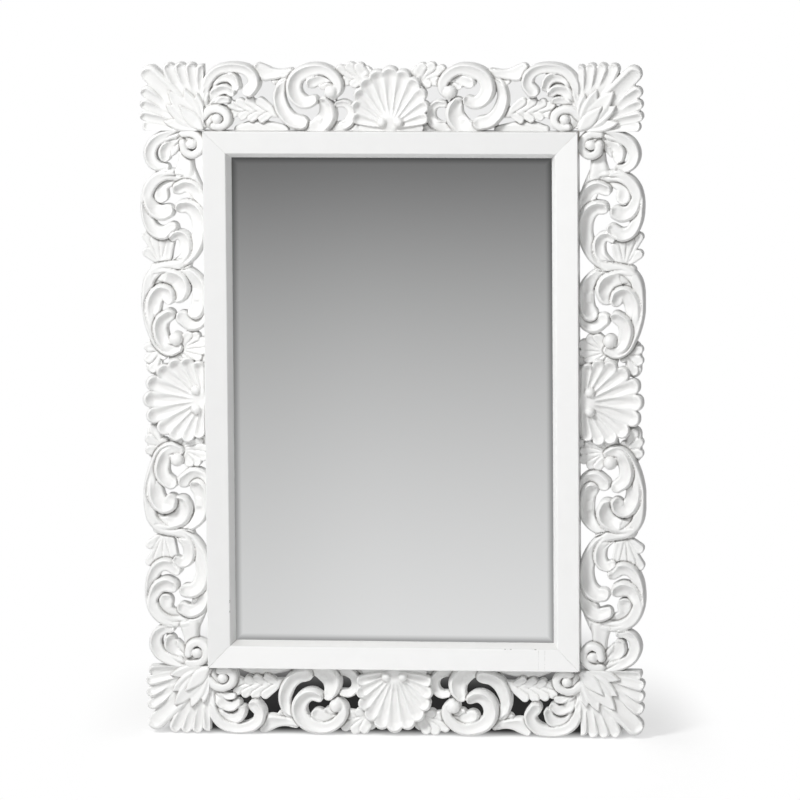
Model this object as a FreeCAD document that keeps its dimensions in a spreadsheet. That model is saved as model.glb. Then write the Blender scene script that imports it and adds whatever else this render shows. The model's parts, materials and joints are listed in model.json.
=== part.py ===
import FreeCAD
import Part
import Sketcher
import math
import os

# A carved, white painted wall mirror: a mitred moulding holds the glass, and pierced carved boards,
# leaf corners and shells stand round it. X is to the right, Z is up, the front faces -Y and the wall
# is the plane y = 0. The origin is on the wall, behind the middle of the top carved rail.

DIMENSIONS = (
    # Mitred moulding and what it holds
    ("moulding_width", 445.0, "outer width of the moulding"),
    ("moulding_height", 642.0, "outer height of the moulding"),
    ("moulding_face", 26.5, "width of the sloping front face"),
    ("face_fall", 4.5, "how far the front face falls towards the glass"),
    ("reveal_width", 5.5, "width of the steep inner reveal"),
    ("reveal_depth", 13.0, "depth of the steep inner reveal"),
    ("lip_thickness", 1.5, "thickness of the lip in front of the glass"),
    ("rebate_width", 7.0, "how far the rebate reaches behind the lip"),
    ("back_recess", 6.0, "moulding's back set in from the wall"),
    ("glass_thickness", 4.0, "mirror glass"),
    ("card_thickness", 2.0, "protective card behind the glass"),
    ("backing_thickness", 3.0, "backing board"),
    ("glass_clearance", 1.0, "play round the glass in its rebate"),
    # Carved boards
    ("rail_band", 81.0, "height of the top and bottom carved boards"),
    ("stile_band", 77.5, "width of the side carved boards"),
    ("relief_low", 16.0, "height of the low leaves above the wall"),
    ("relief_middle", 21.0, "height of the scroll bands"),
    ("relief_high", 25.5, "height of the scroll heads"),
    ("relief_crown", 29.0, "height of volute eyes and balls"),
    ("seat_height", 18.0, "flat seat on the board under each shell"),
    ("shell_rise", 7.5, "flute ridges of a shell, above its seat"),
    ("shell_leaf_rise", 3.0, "leaves at a shell's foot, above its seat"),
    ("bead_rise", 11.0, "beads at a shell's hinge, above its seat"),
    ("flute_depth", 4.5, "depth of the shell flutes"),
    ("shell_clearance", 0.3, "gap between a shell's edge and the leaves beside it"),
    # Dowels and mitre keys
    ("dowel_diameter", 6.0, "beech dowels"),
    ("dowel_length", 24.0, "half in each piece"),
    ("dowel_cover", 2.0, "wood between a dowel and the seat of a shell"),
    ("fit_clearance", 0.05, "radial clearance of dowels, screws and pivots"),
    ("key_leg", 30.0, "leg of the triangular mitre keys"),
    ("key_thickness", 3.0, "thickness of the mitre keys"),
    # Screws
    ("screw_diameter", 3.5, "screw shank"),
    ("screw_length", 16.0, "screw shank in the wood"),
    ("head_diameter", 7.0, "screw head"),
    ("head_height", 2.0, "screw head"),
    ("slot_width", 1.0, "screwdriver slot"),
    ("slot_depth", 0.9, "screwdriver slot"),
    # Turn buttons
    ("button_reach", 26.0, "pivot to the tip over the backing board"),
    ("button_heel", 7.0, "pivot to the heel"),
    ("button_width", 12.0, "turn button"),
    ("button_thickness", 1.5, "turn button"),
    ("button_inset", 10.0, "pivot, from the rebate wall"),
    ("button_spacing", 220.0, "between the upper and lower side buttons"),
    ("button_gap", 0.1, "running gap under and over the turn buttons"),
    # Strap hangers
    ("strap_rise", 20.0, "strap's foot, above the sweep of the upper side button"),
    ("strap_width", 14.0, "hanger strap"),
    ("strap_thickness", 1.2, "hanger strap"),
    ("strap_foot", 12.0, "second screw to the strap's foot"),
    ("hook_room_loop", 5.7, "between the strap's loop and the first screw head"),
    ("hook_room_bow", 7.0, "between the first screw head and the bow of the ring"),
    ("bow_gap", 3.0, "between the bow of the ring and the second screw head"),
    ("wire_diameter", 3.0, "ring wire"),
    ("ring_play", 1.0, "between the strap's loop and each leg of the ring"),
    ("ring_gap", 0.3, "between the hanging ring and its strap"),
    ("ring_fit", 0.1, "radial clearance of the ring in its loop"),
)

doc = FreeCAD.newDocument("carved_mirror")
sheet = doc.addObject("Spreadsheet::Sheet", "dims")
for row, (alias, value, note) in enumerate(DIMENSIONS, start=1):
    sheet.set(f"A{row}", alias)
    sheet.set(f"B{row}", str(value))
    sheet.set(f"C{row}", note)
    sheet.setAlias(f"B{row}", alias)
doc.recompute()

# Places shared by many pieces, as expressions on the sheet
CENTRE_Z = "-(dims.moulding_height + dims.rail_band) / 2"
HALF_W = "dims.moulding_width / 2"
HALF_H = "dims.moulding_height / 2"
Y_BACK = "-dims.back_recess"
Y_GLASS = "-(dims.back_recess + dims.backing_thickness + dims.card_thickness + dims.glass_thickness)"
SIGHT = "(dims.moulding_face + dims.reveal_width)"
REBATE_WALL = f"({SIGHT} - dims.rebate_width)"
Y_REVEAL = f"({Y_GLASS} - dims.lip_thickness)"
Y_FACE = f"({Y_REVEAL} - dims.reveal_depth)"
Y_FRONT = f"({Y_FACE} - dims.face_fall)"
Y_KEY = f"({Y_BACK} + {Y_FRONT}) / 2"
Y_DOWEL = "-(dims.seat_height - dims.dowel_cover - dims.dowel_diameter / 2)"

# The carver's squared pattern: squares along half a board, and across it
RAIL_SQUARES = (190.0, 70.0)
STILE_SQUARES = (267.5, 68.0)
CORNER_SQUARES = (66.0, 70.0)

X_AXIS = FreeCAD.Vector(1, 0, 0)
Y_AXIS = FreeCAD.Vector(0, 1, 0)
Z_AXIS = FreeCAD.Vector(0, 0, 1)

nodes = {}


def dim(alias):
    """Value of one driving dimension."""
    return float(sheet.get(alias))


def value_of(expression):
    """Number that an expression on the sheet gives now."""
    return float(sheet.evalExpression(expression))


def keep(label, piece):
    """Name a finished piece."""
    piece.Label = label
    nodes[label] = piece
    return piece


def bind(piece, **expressions):
    """Bind properties of a piece to the sheet."""
    for name, expression in expressions.items():
        piece.setExpression(name, expression)


def place(piece, x="0", y="0", z="0", rotation=None):
    """Place a piece by expressions, measured from the middle of the mirror on the wall."""
    if rotation is not None:
        piece.Placement = FreeCAD.Placement(FreeCAD.Vector(), rotation)
    piece.setExpression("Placement.Base.x", x)
    piece.setExpression("Placement.Base.y", y)
    piece.setExpression("Placement.Base.z", f"{CENTRE_Z} + ({z})")


def local(piece, x="0", y="0", z="0", rotation=None):
    """Place a piece by expressions, measured from its own group's origin."""
    if rotation is not None:
        piece.Placement = FreeCAD.Placement(FreeCAD.Vector(), rotation)
    piece.setExpression("Placement.Base.x", x)
    piece.setExpression("Placement.Base.y", y)
    piece.setExpression("Placement.Base.z", z)


def box(length, width, height):
    """Block along X, Y and Z from its placement."""
    piece = doc.addObject("Part::Box", "Block")
    bind(piece, Length=length, Width=width, Height=height)
    return piece


def cylinder(radius, height):
    """Rod that stands up along Z from its placement."""
    piece = doc.addObject("Part::Cylinder", "Rod")
    bind(piece, Radius=radius, Height=height)
    return piece


def fuse(*pieces):
    """Several pieces as one solid."""
    piece = doc.addObject("Part::MultiFuse", "Joined")
    piece.Shapes = list(pieces)
    return piece


def cut(base, *tools):
    """A piece with the tools' space taken out of it."""
    piece = doc.addObject("Part::Cut", "Bored")
    piece.Base = base
    piece.Tool = tools[0] if len(tools) == 1 else group(*tools)
    return piece


def group(*pieces):
    """Separate solids kept together."""
    piece = doc.addObject("Part::Compound", "Set")
    piece.Links = list(pieces)
    return piece


def turn(axis, degrees):
    """Rotation about an axis through the origin."""
    return FreeCAD.Rotation(axis, degrees)


# Dowels: a peg and the two half holes that take it share one place

dowel_pegs = []
dowel_holes = {}


def dowel(x, z, rotation, *owners):
    """One peg whose middle is at (x, z), and a hole tool for each piece that it joins."""
    start = "-dims.dowel_length / 2"
    axis = rotation.multVec(Z_AXIS)
    place_x = f"({x}) + ({axis.x}) * ({start})"
    place_z = f"({z}) + ({axis.z}) * ({start})"
    peg = cylinder("dims.dowel_diameter / 2", "dims.dowel_length")
    place(peg, place_x, Y_DOWEL, place_z, rotation)
    dowel_pegs.append(peg)
    hole = cylinder("dims.dowel_diameter / 2 + dims.fit_clearance", "dims.dowel_length")
    place(hole, place_x, Y_DOWEL, place_z, rotation)
    for owner in owners:
        dowel_holes.setdefault(owner, []).append(hole)


UPRIGHT = turn(Z_AXIS, 0)
SIDEWAYS = turn(Y_AXIS, 90)
RAIL_DOWELS = (-75.0, 0.0, 75.0)
STILE_DOWELS = (-170.0, -103.0, 0.0, 103.0, 170.0)
RAIL_END_DOWEL = 21.5
STILE_END_DOWEL = 22.0

for end, sign in (("top", 1), ("bottom", -1)):
    for square in RAIL_DOWELS:
        along = f"{square} / {RAIL_SQUARES[0]} * {HALF_W}"
        dowel(along, f"{sign} * {HALF_H}", UPRIGHT, f"carved_rail_{end}", f"moulding_{end}")
for end, sign in (("right", 1), ("left", -1)):
    for square in STILE_DOWELS:
        along = f"{square} / {STILE_SQUARES[0]} * {HALF_H}"
        dowel(f"{sign} * {HALF_W}", along, SIDEWAYS, f"carved_stile_{end}", f"moulding_{end}")
for level, up in (("top", 1), ("bottom", -1)):
    for end, out in (("right", 1), ("left", -1)):
        corner = f"corner_leaf_{level}_{end}"
        rise = f"{up} * ({HALF_H} + {RAIL_END_DOWEL} / {RAIL_SQUARES[1]} * dims.rail_band)"
        dowel(f"{out} * {HALF_W}", rise, SIDEWAYS, corner, f"carved_rail_{level}")
        reach = f"{out} * ({HALF_W} + {STILE_END_DOWEL} / {STILE_SQUARES[1]} * dims.stile_band)"
        dowel(reach, f"{up} * {HALF_H}", UPRIGHT, corner, f"carved_stile_{end}")
keep("frame_dowels", group(*dowel_pegs))


# Screws: a slotted pan head whose seat is at y, driven towards the front

def screw(x, y, z):
    """Return the screw and the tool for its pilot hole."""
    drive = turn(X_AXIS, 90)
    shank = cylinder("dims.screw_diameter / 2", "dims.screw_length")
    head = cylinder("dims.head_diameter / 2", "dims.head_height")
    local(head, z="-dims.head_height")
    slot = box("dims.head_diameter", "dims.slot_width", "dims.slot_depth")
    local(slot, "-dims.head_diameter / 2", "-dims.slot_width / 2", "-dims.head_height")
    piece = cut(fuse(shank, head), slot)
    place(piece, x, y, z, drive)
    pilot = cylinder("dims.screw_diameter / 2 + dims.fit_clearance", "dims.screw_length")
    place(pilot, x, y, z, drive)
    return piece, pilot


screw_holes = {}


# Turn buttons: flat strips that swing on a screw and hold the backing board in

BUTTON_PIVOT = f"({REBATE_WALL} - dims.button_inset)"
BUTTONS = (
    ("turn_button_top", "moulding_top", "0", f"{HALF_H} - {BUTTON_PIVOT}", 90),
    ("turn_button_bottom", "moulding_bottom", "0", f"-({HALF_H} - {BUTTON_PIVOT})", -90),
    ("turn_button_left_upper", "moulding_left", f"-({HALF_W} - {BUTTON_PIVOT})", "dims.button_spacing / 2", 0),
    ("turn_button_left_lower", "moulding_left", f"-({HALF_W} - {BUTTON_PIVOT})", "-dims.button_spacing / 2", 0),
    ("turn_button_right_upper", "moulding_right", f"{HALF_W} - {BUTTON_PIVOT}", "dims.button_spacing / 2", 180),
    ("turn_button_right_lower", "moulding_right", f"{HALF_W} - {BUTTON_PIVOT}", "-dims.button_spacing / 2", 180),
)


def turn_button(label, owner, x, z, degrees):
    """One button, pointing along +X before it is turned about its pivot."""
    half = "dims.button_width / 2"
    flat = turn(X_AXIS, -90)
    strip = box("dims.button_reach + dims.button_heel - dims.button_width", "dims.button_thickness",
                "dims.button_width")
    local(strip, f"{half} - dims.button_heel", z=f"-{half}")
    tip = cylinder(half, "dims.button_thickness")
    local(tip, f"dims.button_reach - {half}", rotation=flat)
    heel = cylinder(half, "dims.button_thickness")
    local(heel, f"{half} - dims.button_heel", rotation=flat)
    hole = cylinder("dims.screw_diameter / 2 + dims.fit_clearance", "dims.button_thickness")
    local(hole, rotation=flat)
    button = cut(fuse(strip, tip, heel), hole)
    place(button, x, f"{Y_BACK} + dims.button_gap", z, turn(Y_AXIS, degrees))
    keep(label, button)
    pivot, pilot = screw(x, f"{Y_BACK} + 2 * dims.button_gap + dims.button_thickness", z)
    screw_holes.setdefault(owner, []).append(pilot)
    return pivot


keep("button_screws", group(*[turn_button(*row) for row in BUTTONS]))


# Strap hangers: a strap rolled into a loop that carries a ring

Y_RING = f"({Y_BACK} + dims.strap_thickness + dims.ring_gap + dims.wire_diameter / 2)"
LOOP_BORE = "(dims.wire_diameter / 2 + dims.ring_fit)"
LOOP_RADIUS = f"({LOOP_BORE} + dims.strap_thickness)"
FIRST_SCREW = f"({LOOP_RADIUS} + dims.hook_room_loop + dims.head_diameter / 2)"
RING_LENGTH = f"({FIRST_SCREW} + dims.head_diameter / 2 + dims.hook_room_bow)"
SECOND_SCREW = f"({RING_LENGTH} + dims.wire_diameter + dims.bow_gap + dims.head_diameter / 2)"
STRAP_LENGTH = f"({SECOND_SCREW} + dims.strap_foot)"
HANGER_RISE = f"(dims.button_spacing / 2 + dims.button_reach + dims.strap_rise + {STRAP_LENGTH})"


def hanger_strap(label, owner, x):
    """A strap with its ring loop at the top, held by two screws."""
    flat = turn(X_AXIS, -90)
    across = turn(Y_AXIS, 90)
    half = "dims.strap_width / 2"
    plate = box("dims.strap_width", "dims.strap_thickness", f"{STRAP_LENGTH} - {half}")
    local(plate, f"-{half}", Y_BACK, f"{half} - {STRAP_LENGTH}")
    foot = cylinder(half, "dims.strap_thickness")
    local(foot, "0", Y_BACK, f"{half} - {STRAP_LENGTH}", flat)
    loop = cylinder(LOOP_RADIUS, "dims.strap_width")
    local(loop, f"-{half}", Y_RING, "0", across)
    bore = cylinder(LOOP_BORE, "dims.strap_width")
    local(bore, f"-{half}", Y_RING, "0", across)
    holes = []
    screws = []
    for drop in (FIRST_SCREW, SECOND_SCREW):
        hole = cylinder("dims.screw_diameter / 2 + dims.fit_clearance", "dims.strap_thickness")
        local(hole, "0", Y_BACK, f"-{drop}", flat)
        holes.append(hole)
        fixing, pilot = screw(x, f"{Y_BACK} + dims.strap_thickness", f"{HANGER_RISE} - {drop}")
        screws.append(fixing)
        screw_holes.setdefault(owner, []).append(pilot)
    strap = cut(fuse(plate, foot, loop), bore, *holes)
    place(strap, x, "0", HANGER_RISE)
    keep(label, strap)
    return screws


def hanger_ring(label, x):
    """A D-shaped ring of round wire that hangs down from its bar."""
    wire = "dims.wire_diameter / 2"
    arm = "((dims.strap_width + dims.wire_diameter) / 2 + dims.ring_play)"
    bow = f"({RING_LENGTH} + {wire} - {arm})"
    bar = cylinder(wire, f"2 * {arm}")
    local(bar, f"-{arm}", "0", "0", turn(Y_AXIS, 90))
    pieces = [bar]
    for side in ("", "-"):
        knuckle = doc.addObject("Part::Sphere", "Knuckle")
        bind(knuckle, Radius=wire)
        local(knuckle, f"{side}{arm}")
        leg = cylinder(wire, bow)
        local(leg, f"{side}{arm}", "0", f"-{bow}")
        pieces += [knuckle, leg]
    bend = doc.addObject("Part::Torus", "Bow")
    bind(bend, Radius1=arm, Radius2=wire)
    bend.Angle3 = 180
    local(bend, "0", "0", f"-{bow}", turn(X_AXIS, -90))
    ring = fuse(*pieces, bend)
    place(ring, x, Y_RING, HANGER_RISE)
    return keep(label, ring)


hanger_fixings = []
for end, sign in (("left", -1), ("right", 1)):
    reach = f"{sign} * ({HALF_W} - {REBATE_WALL} / 2)"
    hanger_fixings += hanger_strap(f"hanger_strap_{end}", f"moulding_{end}", reach)
    hanger_ring(f"hanger_ring_{end}", reach)
keep("hanger_screws", group(*hanger_fixings))


# Mitre keys: thin triangles let into the outer corners of the moulding

def plane_of(body, role):
    """Origin plane of a body."""
    return next(part for part in body.Origin.OriginFeatures if part.Role == role)


def outline(sketch, corners):
    """Closed polygon in a sketch, each corner held by expressions for its two coordinates."""
    spots = [FreeCAD.Vector(value_of(x), value_of(y), 0) for x, y in corners]
    count = len(spots)
    first = sketch.GeometryCount
    for index, spot in enumerate(spots):
        sketch.addGeometry(Part.LineSegment(spot, spots[(index + 1) % count]), False)
    for index, (x, y) in enumerate(corners):
        edge = first + index
        following = first + (index + 1) % count
        sketch.addConstraint(Sketcher.Constraint("Coincident", edge, 2, following, 1))
        for kind, expression, amount in (("DistanceX", x, spots[index].x), ("DistanceY", y, spots[index].y)):
            held = sketch.addConstraint(Sketcher.Constraint(kind, -1, 1, edge, 1, amount))
            sketch.setExpression(f"Constraints[{held}]", expression)


def body_with_sketch(role, corners):
    """New body with its first sketch."""
    body = doc.addObject("PartDesign::Body", "Piece")
    return body, add_sketch(body, role, corners)


def add_sketch(body, role, corners):
    """Sketch of one or more polygons on an origin plane of the body."""
    sketch = body.newObject("Sketcher::SketchObject", "Profile")
    sketch.AttachmentSupport = (plane_of(body, role), [""])
    sketch.MapMode = "FlatFace"
    doc.recompute()
    for polygon in corners:
        outline(sketch, polygon)
    doc.recompute()
    return sketch


def pad(body, sketch, length):
    """Pad a sketch to both sides of its plane."""
    feature = body.newObject("PartDesign::Pad", "Pad")
    feature.Profile = sketch
    feature.Midplane = True
    feature.setExpression("Length", length)
    doc.recompute()
    return feature


key_pieces = []
for up in (1, -1):
    for out in (1, -1):
        tip = (f"{out} * {HALF_W}", f"{up} * {HALF_H}")
        below = (tip[0], f"{up} * ({HALF_H} - dims.key_leg)")
        beside = (f"{out} * ({HALF_W} - dims.key_leg)", tip[1])
        key, profile = body_with_sketch("XZ_Plane", [(tip, below, beside)])
        pad(key, profile, "dims.key_thickness")
        place(key, y=Y_KEY)
        key_pieces.append(key)
keep("mitre_keys", group(*key_pieces))


# Moulding: one profile, run along each side and cut at 45 degrees at both ends

def moulding_profile(half, sign):
    """Corners of the profile as (place across the piece, y)."""
    rows = (
        ("0", Y_BACK),
        ("0", Y_FRONT),
        ("dims.moulding_face", Y_FACE),
        (SIGHT, Y_REVEAL),
        (SIGHT, Y_GLASS),
        (REBATE_WALL, Y_GLASS),
        (REBATE_WALL, Y_BACK),
    )
    return [(f"{sign} * ({half} - {inset})", y) for inset, y in rows]


def moulding(label, across, sign):
    """One side of the moulding; across is "x" for an upright piece and "z" for a level one."""
    upright = across == "x"
    profile = moulding_profile(HALF_W if upright else HALF_H, sign)
    if upright:
        body, sketch = body_with_sketch("XY_Plane", [profile])
        pad(body, sketch, "dims.moulding_height")
    else:
        body, sketch = body_with_sketch("YZ_Plane", [[(y, z) for z, y in profile]])
        pad(body, sketch, "dims.moulding_width")
    inner = f"(2 * {SIGHT})"
    mitres = []
    for end in (1, -1):
        if upright:
            tip = (f"{sign} * {HALF_W}", f"{end} * {HALF_H}")
            low = (f"{sign} * ({HALF_W} - {inner})", f"{end} * ({HALF_H} - {inner})")
            mitres.append((tip, low, (low[0], tip[1])))
        else:
            tip = (f"{end} * {HALF_W}", f"{sign} * {HALF_H}")
            low = (f"{end} * ({HALF_W} - {inner})", f"{sign} * ({HALF_H} - {inner})")
            mitres.append((tip, low, (tip[0], low[1])))
    corner_cut = add_sketch(body, "XZ_Plane", mitres)
    pocket = body.newObject("PartDesign::Pocket", "Mitres")
    pocket.Profile = corner_cut
    pocket.Type = "ThroughAll"
    pocket.Midplane = True
    place(body)
    doc.recompute()
    tools = dowel_holes[label] + screw_holes[label] + key_pieces
    return keep(label, cut(body, *tools))


moulding("moulding_top", "z", 1)
moulding("moulding_bottom", "z", -1)
moulding("moulding_left", "x", -1)
moulding("moulding_right", "x", 1)


# Glass, card and backing board lie in the rebate, flush with the moulding's back

def sheet_in_rebate(label, thickness, y):
    """A flat sheet that fills the rebate, with play round its edges."""
    width = f"(dims.moulding_width - 2 * ({REBATE_WALL} + dims.glass_clearance))"
    height = f"(dims.moulding_height - 2 * ({REBATE_WALL} + dims.glass_clearance))"
    piece = box(width, thickness, height)
    place(piece, f"-{width} / 2", y, f"-{height} / 2")
    return keep(label, piece)


sheet_in_rebate("mirror_glass", "dims.glass_thickness", Y_GLASS)
sheet_in_rebate("protective_card", "dims.card_thickness", f"{Y_GLASS} + dims.glass_thickness")
sheet_in_rebate("backing_board", "dims.backing_thickness", f"{Y_BACK} - dims.backing_thickness")


# Carving: every lobe, leaf and band is a stroke on the squared pattern, given as (along, out, half width)
# from the middle of the board and the moulding's edge, and raised to one of the relief heights

LEAFLET_ROOT = 0.8


def spray(level, root, root_width, tips):
    """Leaflets that fan out from one root."""
    strokes = []
    for along, out, width in tips:
        middle = ((root[0] + along) / 2, (root[1] + out) / 2, width)
        strokes.append((level, (root + (root_width,), middle, (along, out, width))))
    return strokes


def leaflets(level, width, pairs):
    """Short leaflets that leave a rib one after another."""
    return [(level, (start + (width * LEAFLET_ROOT,), end + (width,))) for start, end in pairs]


def rail_strokes():
    """Right half of a top or bottom board: two scrolls, a leaf spray and the volute at the corner."""
    shoulder_leaf = spray("relief_low", (25, 55.5), 5, ((46, 49.5, 4.6), (35, 48, 4.2), (50, 62.5, 4.6),
                                                        (40, 65.5, 4.4), (31, 65, 4.4)))
    lower_leaflets = leaflets("relief_low", 3.6, (((123, 17), (131, 9.5)), ((132, 18), (141, 11)),
                                                  ((141, 18), (150, 14)), ((151, 19), (160, 15))))
    upper_leaflets = leaflets("relief_low", 3.8, (((123, 21), (134, 30.5)), ((131, 22), (143, 31.5)),
                                                  ((140, 22.5), (152, 30)), ((150, 22.5), (159, 27.5))))
    return shoulder_leaf + lower_leaflets + upper_leaflets + [
        # ground along the moulding, beside the shell and under the leaf spray
        ("relief_low", ((30, 2.5, 5), (47, 2.5, 5.5), (64, 2.5, 5))),
        ("relief_low", ((108, 1, 4), (127, 3.5, 5.5), (142, 4, 5.5), (156, 1, 4))),
        # small crescent beside the shell
        ("relief_middle", ((58, 3.5, 5), (49, 4.5, 5.5), (42.5, 9, 5.5), (40, 16.5, 5.2), (42, 23.5, 4.8),
                           (47.5, 27.5, 4.4), (54, 27, 3.6))),
        # bracket between the two scrolls
        ("relief_low", ((101, 59, 4), (112, 56, 5.4), (116.5, 51.5, 5.2))),
        ("relief_low", ((102, 60, 4), (112, 59, 5), (122, 58.5, 6.8), (129, 58.5, 8), (134.5, 63.5, 5.6))),
        # rib of the leaf spray
        ("relief_middle", ((113, 17.5, 3.6), (132, 20.5, 4.6), (147, 21, 4.6), (159, 21.5, 4.2), (168, 21, 3.2))),
        # riser, outer stroke and inner stroke of the large scroll
        ("relief_middle", ((84, 0.5, 7), (74, 4, 9.4), (67, 13.5, 8), (65.5, 22.5, 7), (67.5, 28.5, 5.8))),
        ("relief_middle", ((103, 57, 4), (110, 47.5, 5.2), (113.5, 37.5, 6), (112.5, 27.5, 7), (107.5, 17, 7.4),
                           (100, 10, 7.6), (91, 7.5, 7.5))),
        ("relief_middle", ((56, 35, 4), (52.5, 43, 5.4), (55, 51.5, 6), (62, 59, 6.2))),
        ("relief_middle", ((55, 50, 3), (60, 50.5, 3.6), (65.5, 48.5, 4.4))),
        ("relief_middle", ((60, 57, 4), (69, 56.5, 5.4), (77, 52, 6.8))),
        ("relief_high", ((57, 56, 4.4), (62, 60.5, 5.8), (72, 63.2, 6.4), (85, 61, 7.4), (95, 54.5, 7.8),
                         (98.5, 44.5, 8), (95.5, 35, 8), (88, 30.5, 7.8), (81, 31.5, 7))),
        ("relief_crown", ((58.5, 39.5, 8.6),)),
        # corner scroll and the three lobes inside it
        ("relief_middle", ((184, 23, 4), (177, 29, 4.4), (171, 31.5, 4.2), (166, 31, 3.4))),
        ("relief_middle", ((187, 27, 4.2), (181.5, 35.5, 5.4), (174.5, 41, 5.8), (167.5, 42, 5.4), (162, 39, 4.6))),
        ("relief_middle", ((188, 36, 4.4), (182, 48.5, 5.8), (174.5, 54.5, 6.3), (165.5, 55.5, 6.3),
                           (159.5, 51.5, 5.8), (156.5, 45, 4.6))),
        ("relief_high", ((190, 6, 4.2), (190.5, 20, 4.4), (189.5, 33.5, 4.6), (187.5, 45.5, 5), (183, 55, 5.4),
                         (176, 61.3, 5.4), (167, 64.2, 5.4), (157, 64.5, 5.5), (147, 62, 6), (140.3, 56, 6.2),
                         (138.5, 47.5, 6.4), (143.5, 40.5, 6.8))),
        # volute against the corner
        ("relief_high", ((191, 14, 4.2), (184, 21, 4.4), (175, 22, 4.4), (167, 17.5, 4.5), (165.5, 9.5, 4.3),
                         (171, 4, 4.1), (179, 4.5, 3.8))),
        ("relief_crown", ((175.5, 12, 6.4),)),
    ]


def stile_strokes():
    """Upper half of a side board: corner volute, two scrolls and the leaves beside the shell."""
    sprig = spray("relief_low", (134, 42), 5, ((146, 61.5, 4.8), (163, 62, 4.8), (159, 53, 4.6),
                                               (157.5, 44.5, 4.2), (156, 37, 4)))
    inner_leaf = spray("relief_low", (53, 27), 6, ((46, 10, 5), (51, 4.5, 4.6), (59, 4, 4.6),
                                                   (64, 11, 4.6), (64, 18.5, 4.6)))
    outer_leaf = spray("relief_low", (51, 51), 5, ((44, 46, 4), (31, 57, 4.6), (41, 61.5, 4.6), (51, 61, 4.6)))
    return sprig + inner_leaf + outer_leaf + [
        # neck between the inner leaf and the shell's seat
        ("relief_low", ((33, 16, 8), (48, 18, 8))),
        # stem between the corner volute and the upper scroll
        ("relief_middle", ((247, 19, 8), (235, 20, 9.2), (222, 22, 9.4))),
        # corner scroll, its lobes and its volute
        ("relief_low", ((258, 24, 4), (251, 30, 4.4), (245, 35, 3.8))),
        ("relief_middle", ((263, 24, 4), (256, 35, 5.6), (248, 41.5, 6.5), (241.5, 41.5, 5.8))),
        ("relief_middle", ((267, 17, 5), (265, 30, 5.6), (261, 44, 6), (254.5, 53.5, 6.5), (245, 57.5, 6.6),
                           (236, 55, 6), (231, 48, 5.2), (230.5, 41, 4.4))),
        ("relief_high", ((264.5, 22, 4), (264.5, 12, 4.2), (258.5, 4.5, 4.3), (249, 4, 4.3), (243.5, 11.5, 4.4),
                         (247, 19.5, 4.5), (255, 21.5, 4.2))),
        ("relief_crown", ((254, 12.5, 6.4),)),
        # upper scroll: outer band with three heads, inner band with three heads
        ("relief_middle", ((228, 16, 5), (221, 20, 5.4), (221, 30, 5.4), (219.5, 40, 6.3), (213, 47, 7.4),
                           (204, 46.5, 7.6))),
        ("relief_middle", ((220, 17, 6), (227, 28, 6), (228, 40, 6), (223, 50.5, 6.3), (214, 57.5, 6.4),
                           (203, 61, 6.2), (191, 61.8, 5.9), (178.5, 59.8, 6), (168.5, 53.5, 6.6), (165.5, 44, 7),
                           (170.5, 34.5, 6.4))),
        ("relief_high", ((208, 61, 4), (197, 58.5, 5.8), (188.5, 53, 7.2), (185.5, 45.5, 8.3), (187, 39.5, 7.6))),
        ("relief_high", ((184, 2, 5), (198, 4.5, 6.2), (208, 10, 7.2), (212.5, 19, 7.2), (210, 27.5, 6.6))),
        ("relief_high", ((132, 34, 4.4), (141, 19, 7), (152.5, 10.5, 7.6), (165, 6.5, 7.4), (177, 6.5, 7.8),
                         (187, 10.5, 8.1), (192, 17.5, 7.6), (192, 24, 7))),
        ("relief_middle", ((132, 36, 4.4), (143, 23.5, 6.2), (153, 20.5, 6.6), (161, 22.5, 6.4), (164, 28.5, 5.4),
                           (161.5, 33.5, 4.4))),
        # waist, then the lower scroll
        ("relief_middle", ((135, 20, 5), (133, 36, 5.2), (130, 54, 5.2))),
        ("relief_middle", ((88, 2, 5), (78, 6.5, 7), (76, 15.5, 8.6), (81, 24.5, 7.8))),
        ("relief_high", ((132, 28, 4.2), (124, 15.5, 6.4), (115, 8, 7.4), (103, 6.5, 7.9), (92.5, 8, 8.1),
                         (87.5, 11, 8.2))),
        ("relief_high", ((124, 54, 5.2), (123, 40, 7.8), (118.5, 29.5, 9.2), (110.5, 26, 9.6), (104.5, 28, 9))),
        ("relief_middle", ((106, 50, 8), (93, 53.5, 9), (78, 53, 8))),
        ("relief_middle", ((131, 30, 4.2), (132, 42, 5), (127.5, 52.5, 5.8), (119, 59.5, 6), (106, 62, 6),
                           (91, 62, 6), (78, 59.8, 6), (66, 55.5, 6.2), (54.5, 48.5, 6.8), (48.5, 39, 6.2),
                           (51, 30, 5.4))),
        ("relief_high", ((94, 60, 4.6), (105.5, 56.5, 6), (109.5, 48, 6.8), (106, 40.5, 7.2), (101, 38.5, 6.8))),
        ("relief_high", ((50.5, 35, 5), (56, 44, 7), (68, 48.5, 7.6), (78, 46.5, 7.5), (84, 39, 6.6))),
        ("relief_crown", ((60, 31, 8.8),)),
    ]


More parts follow.
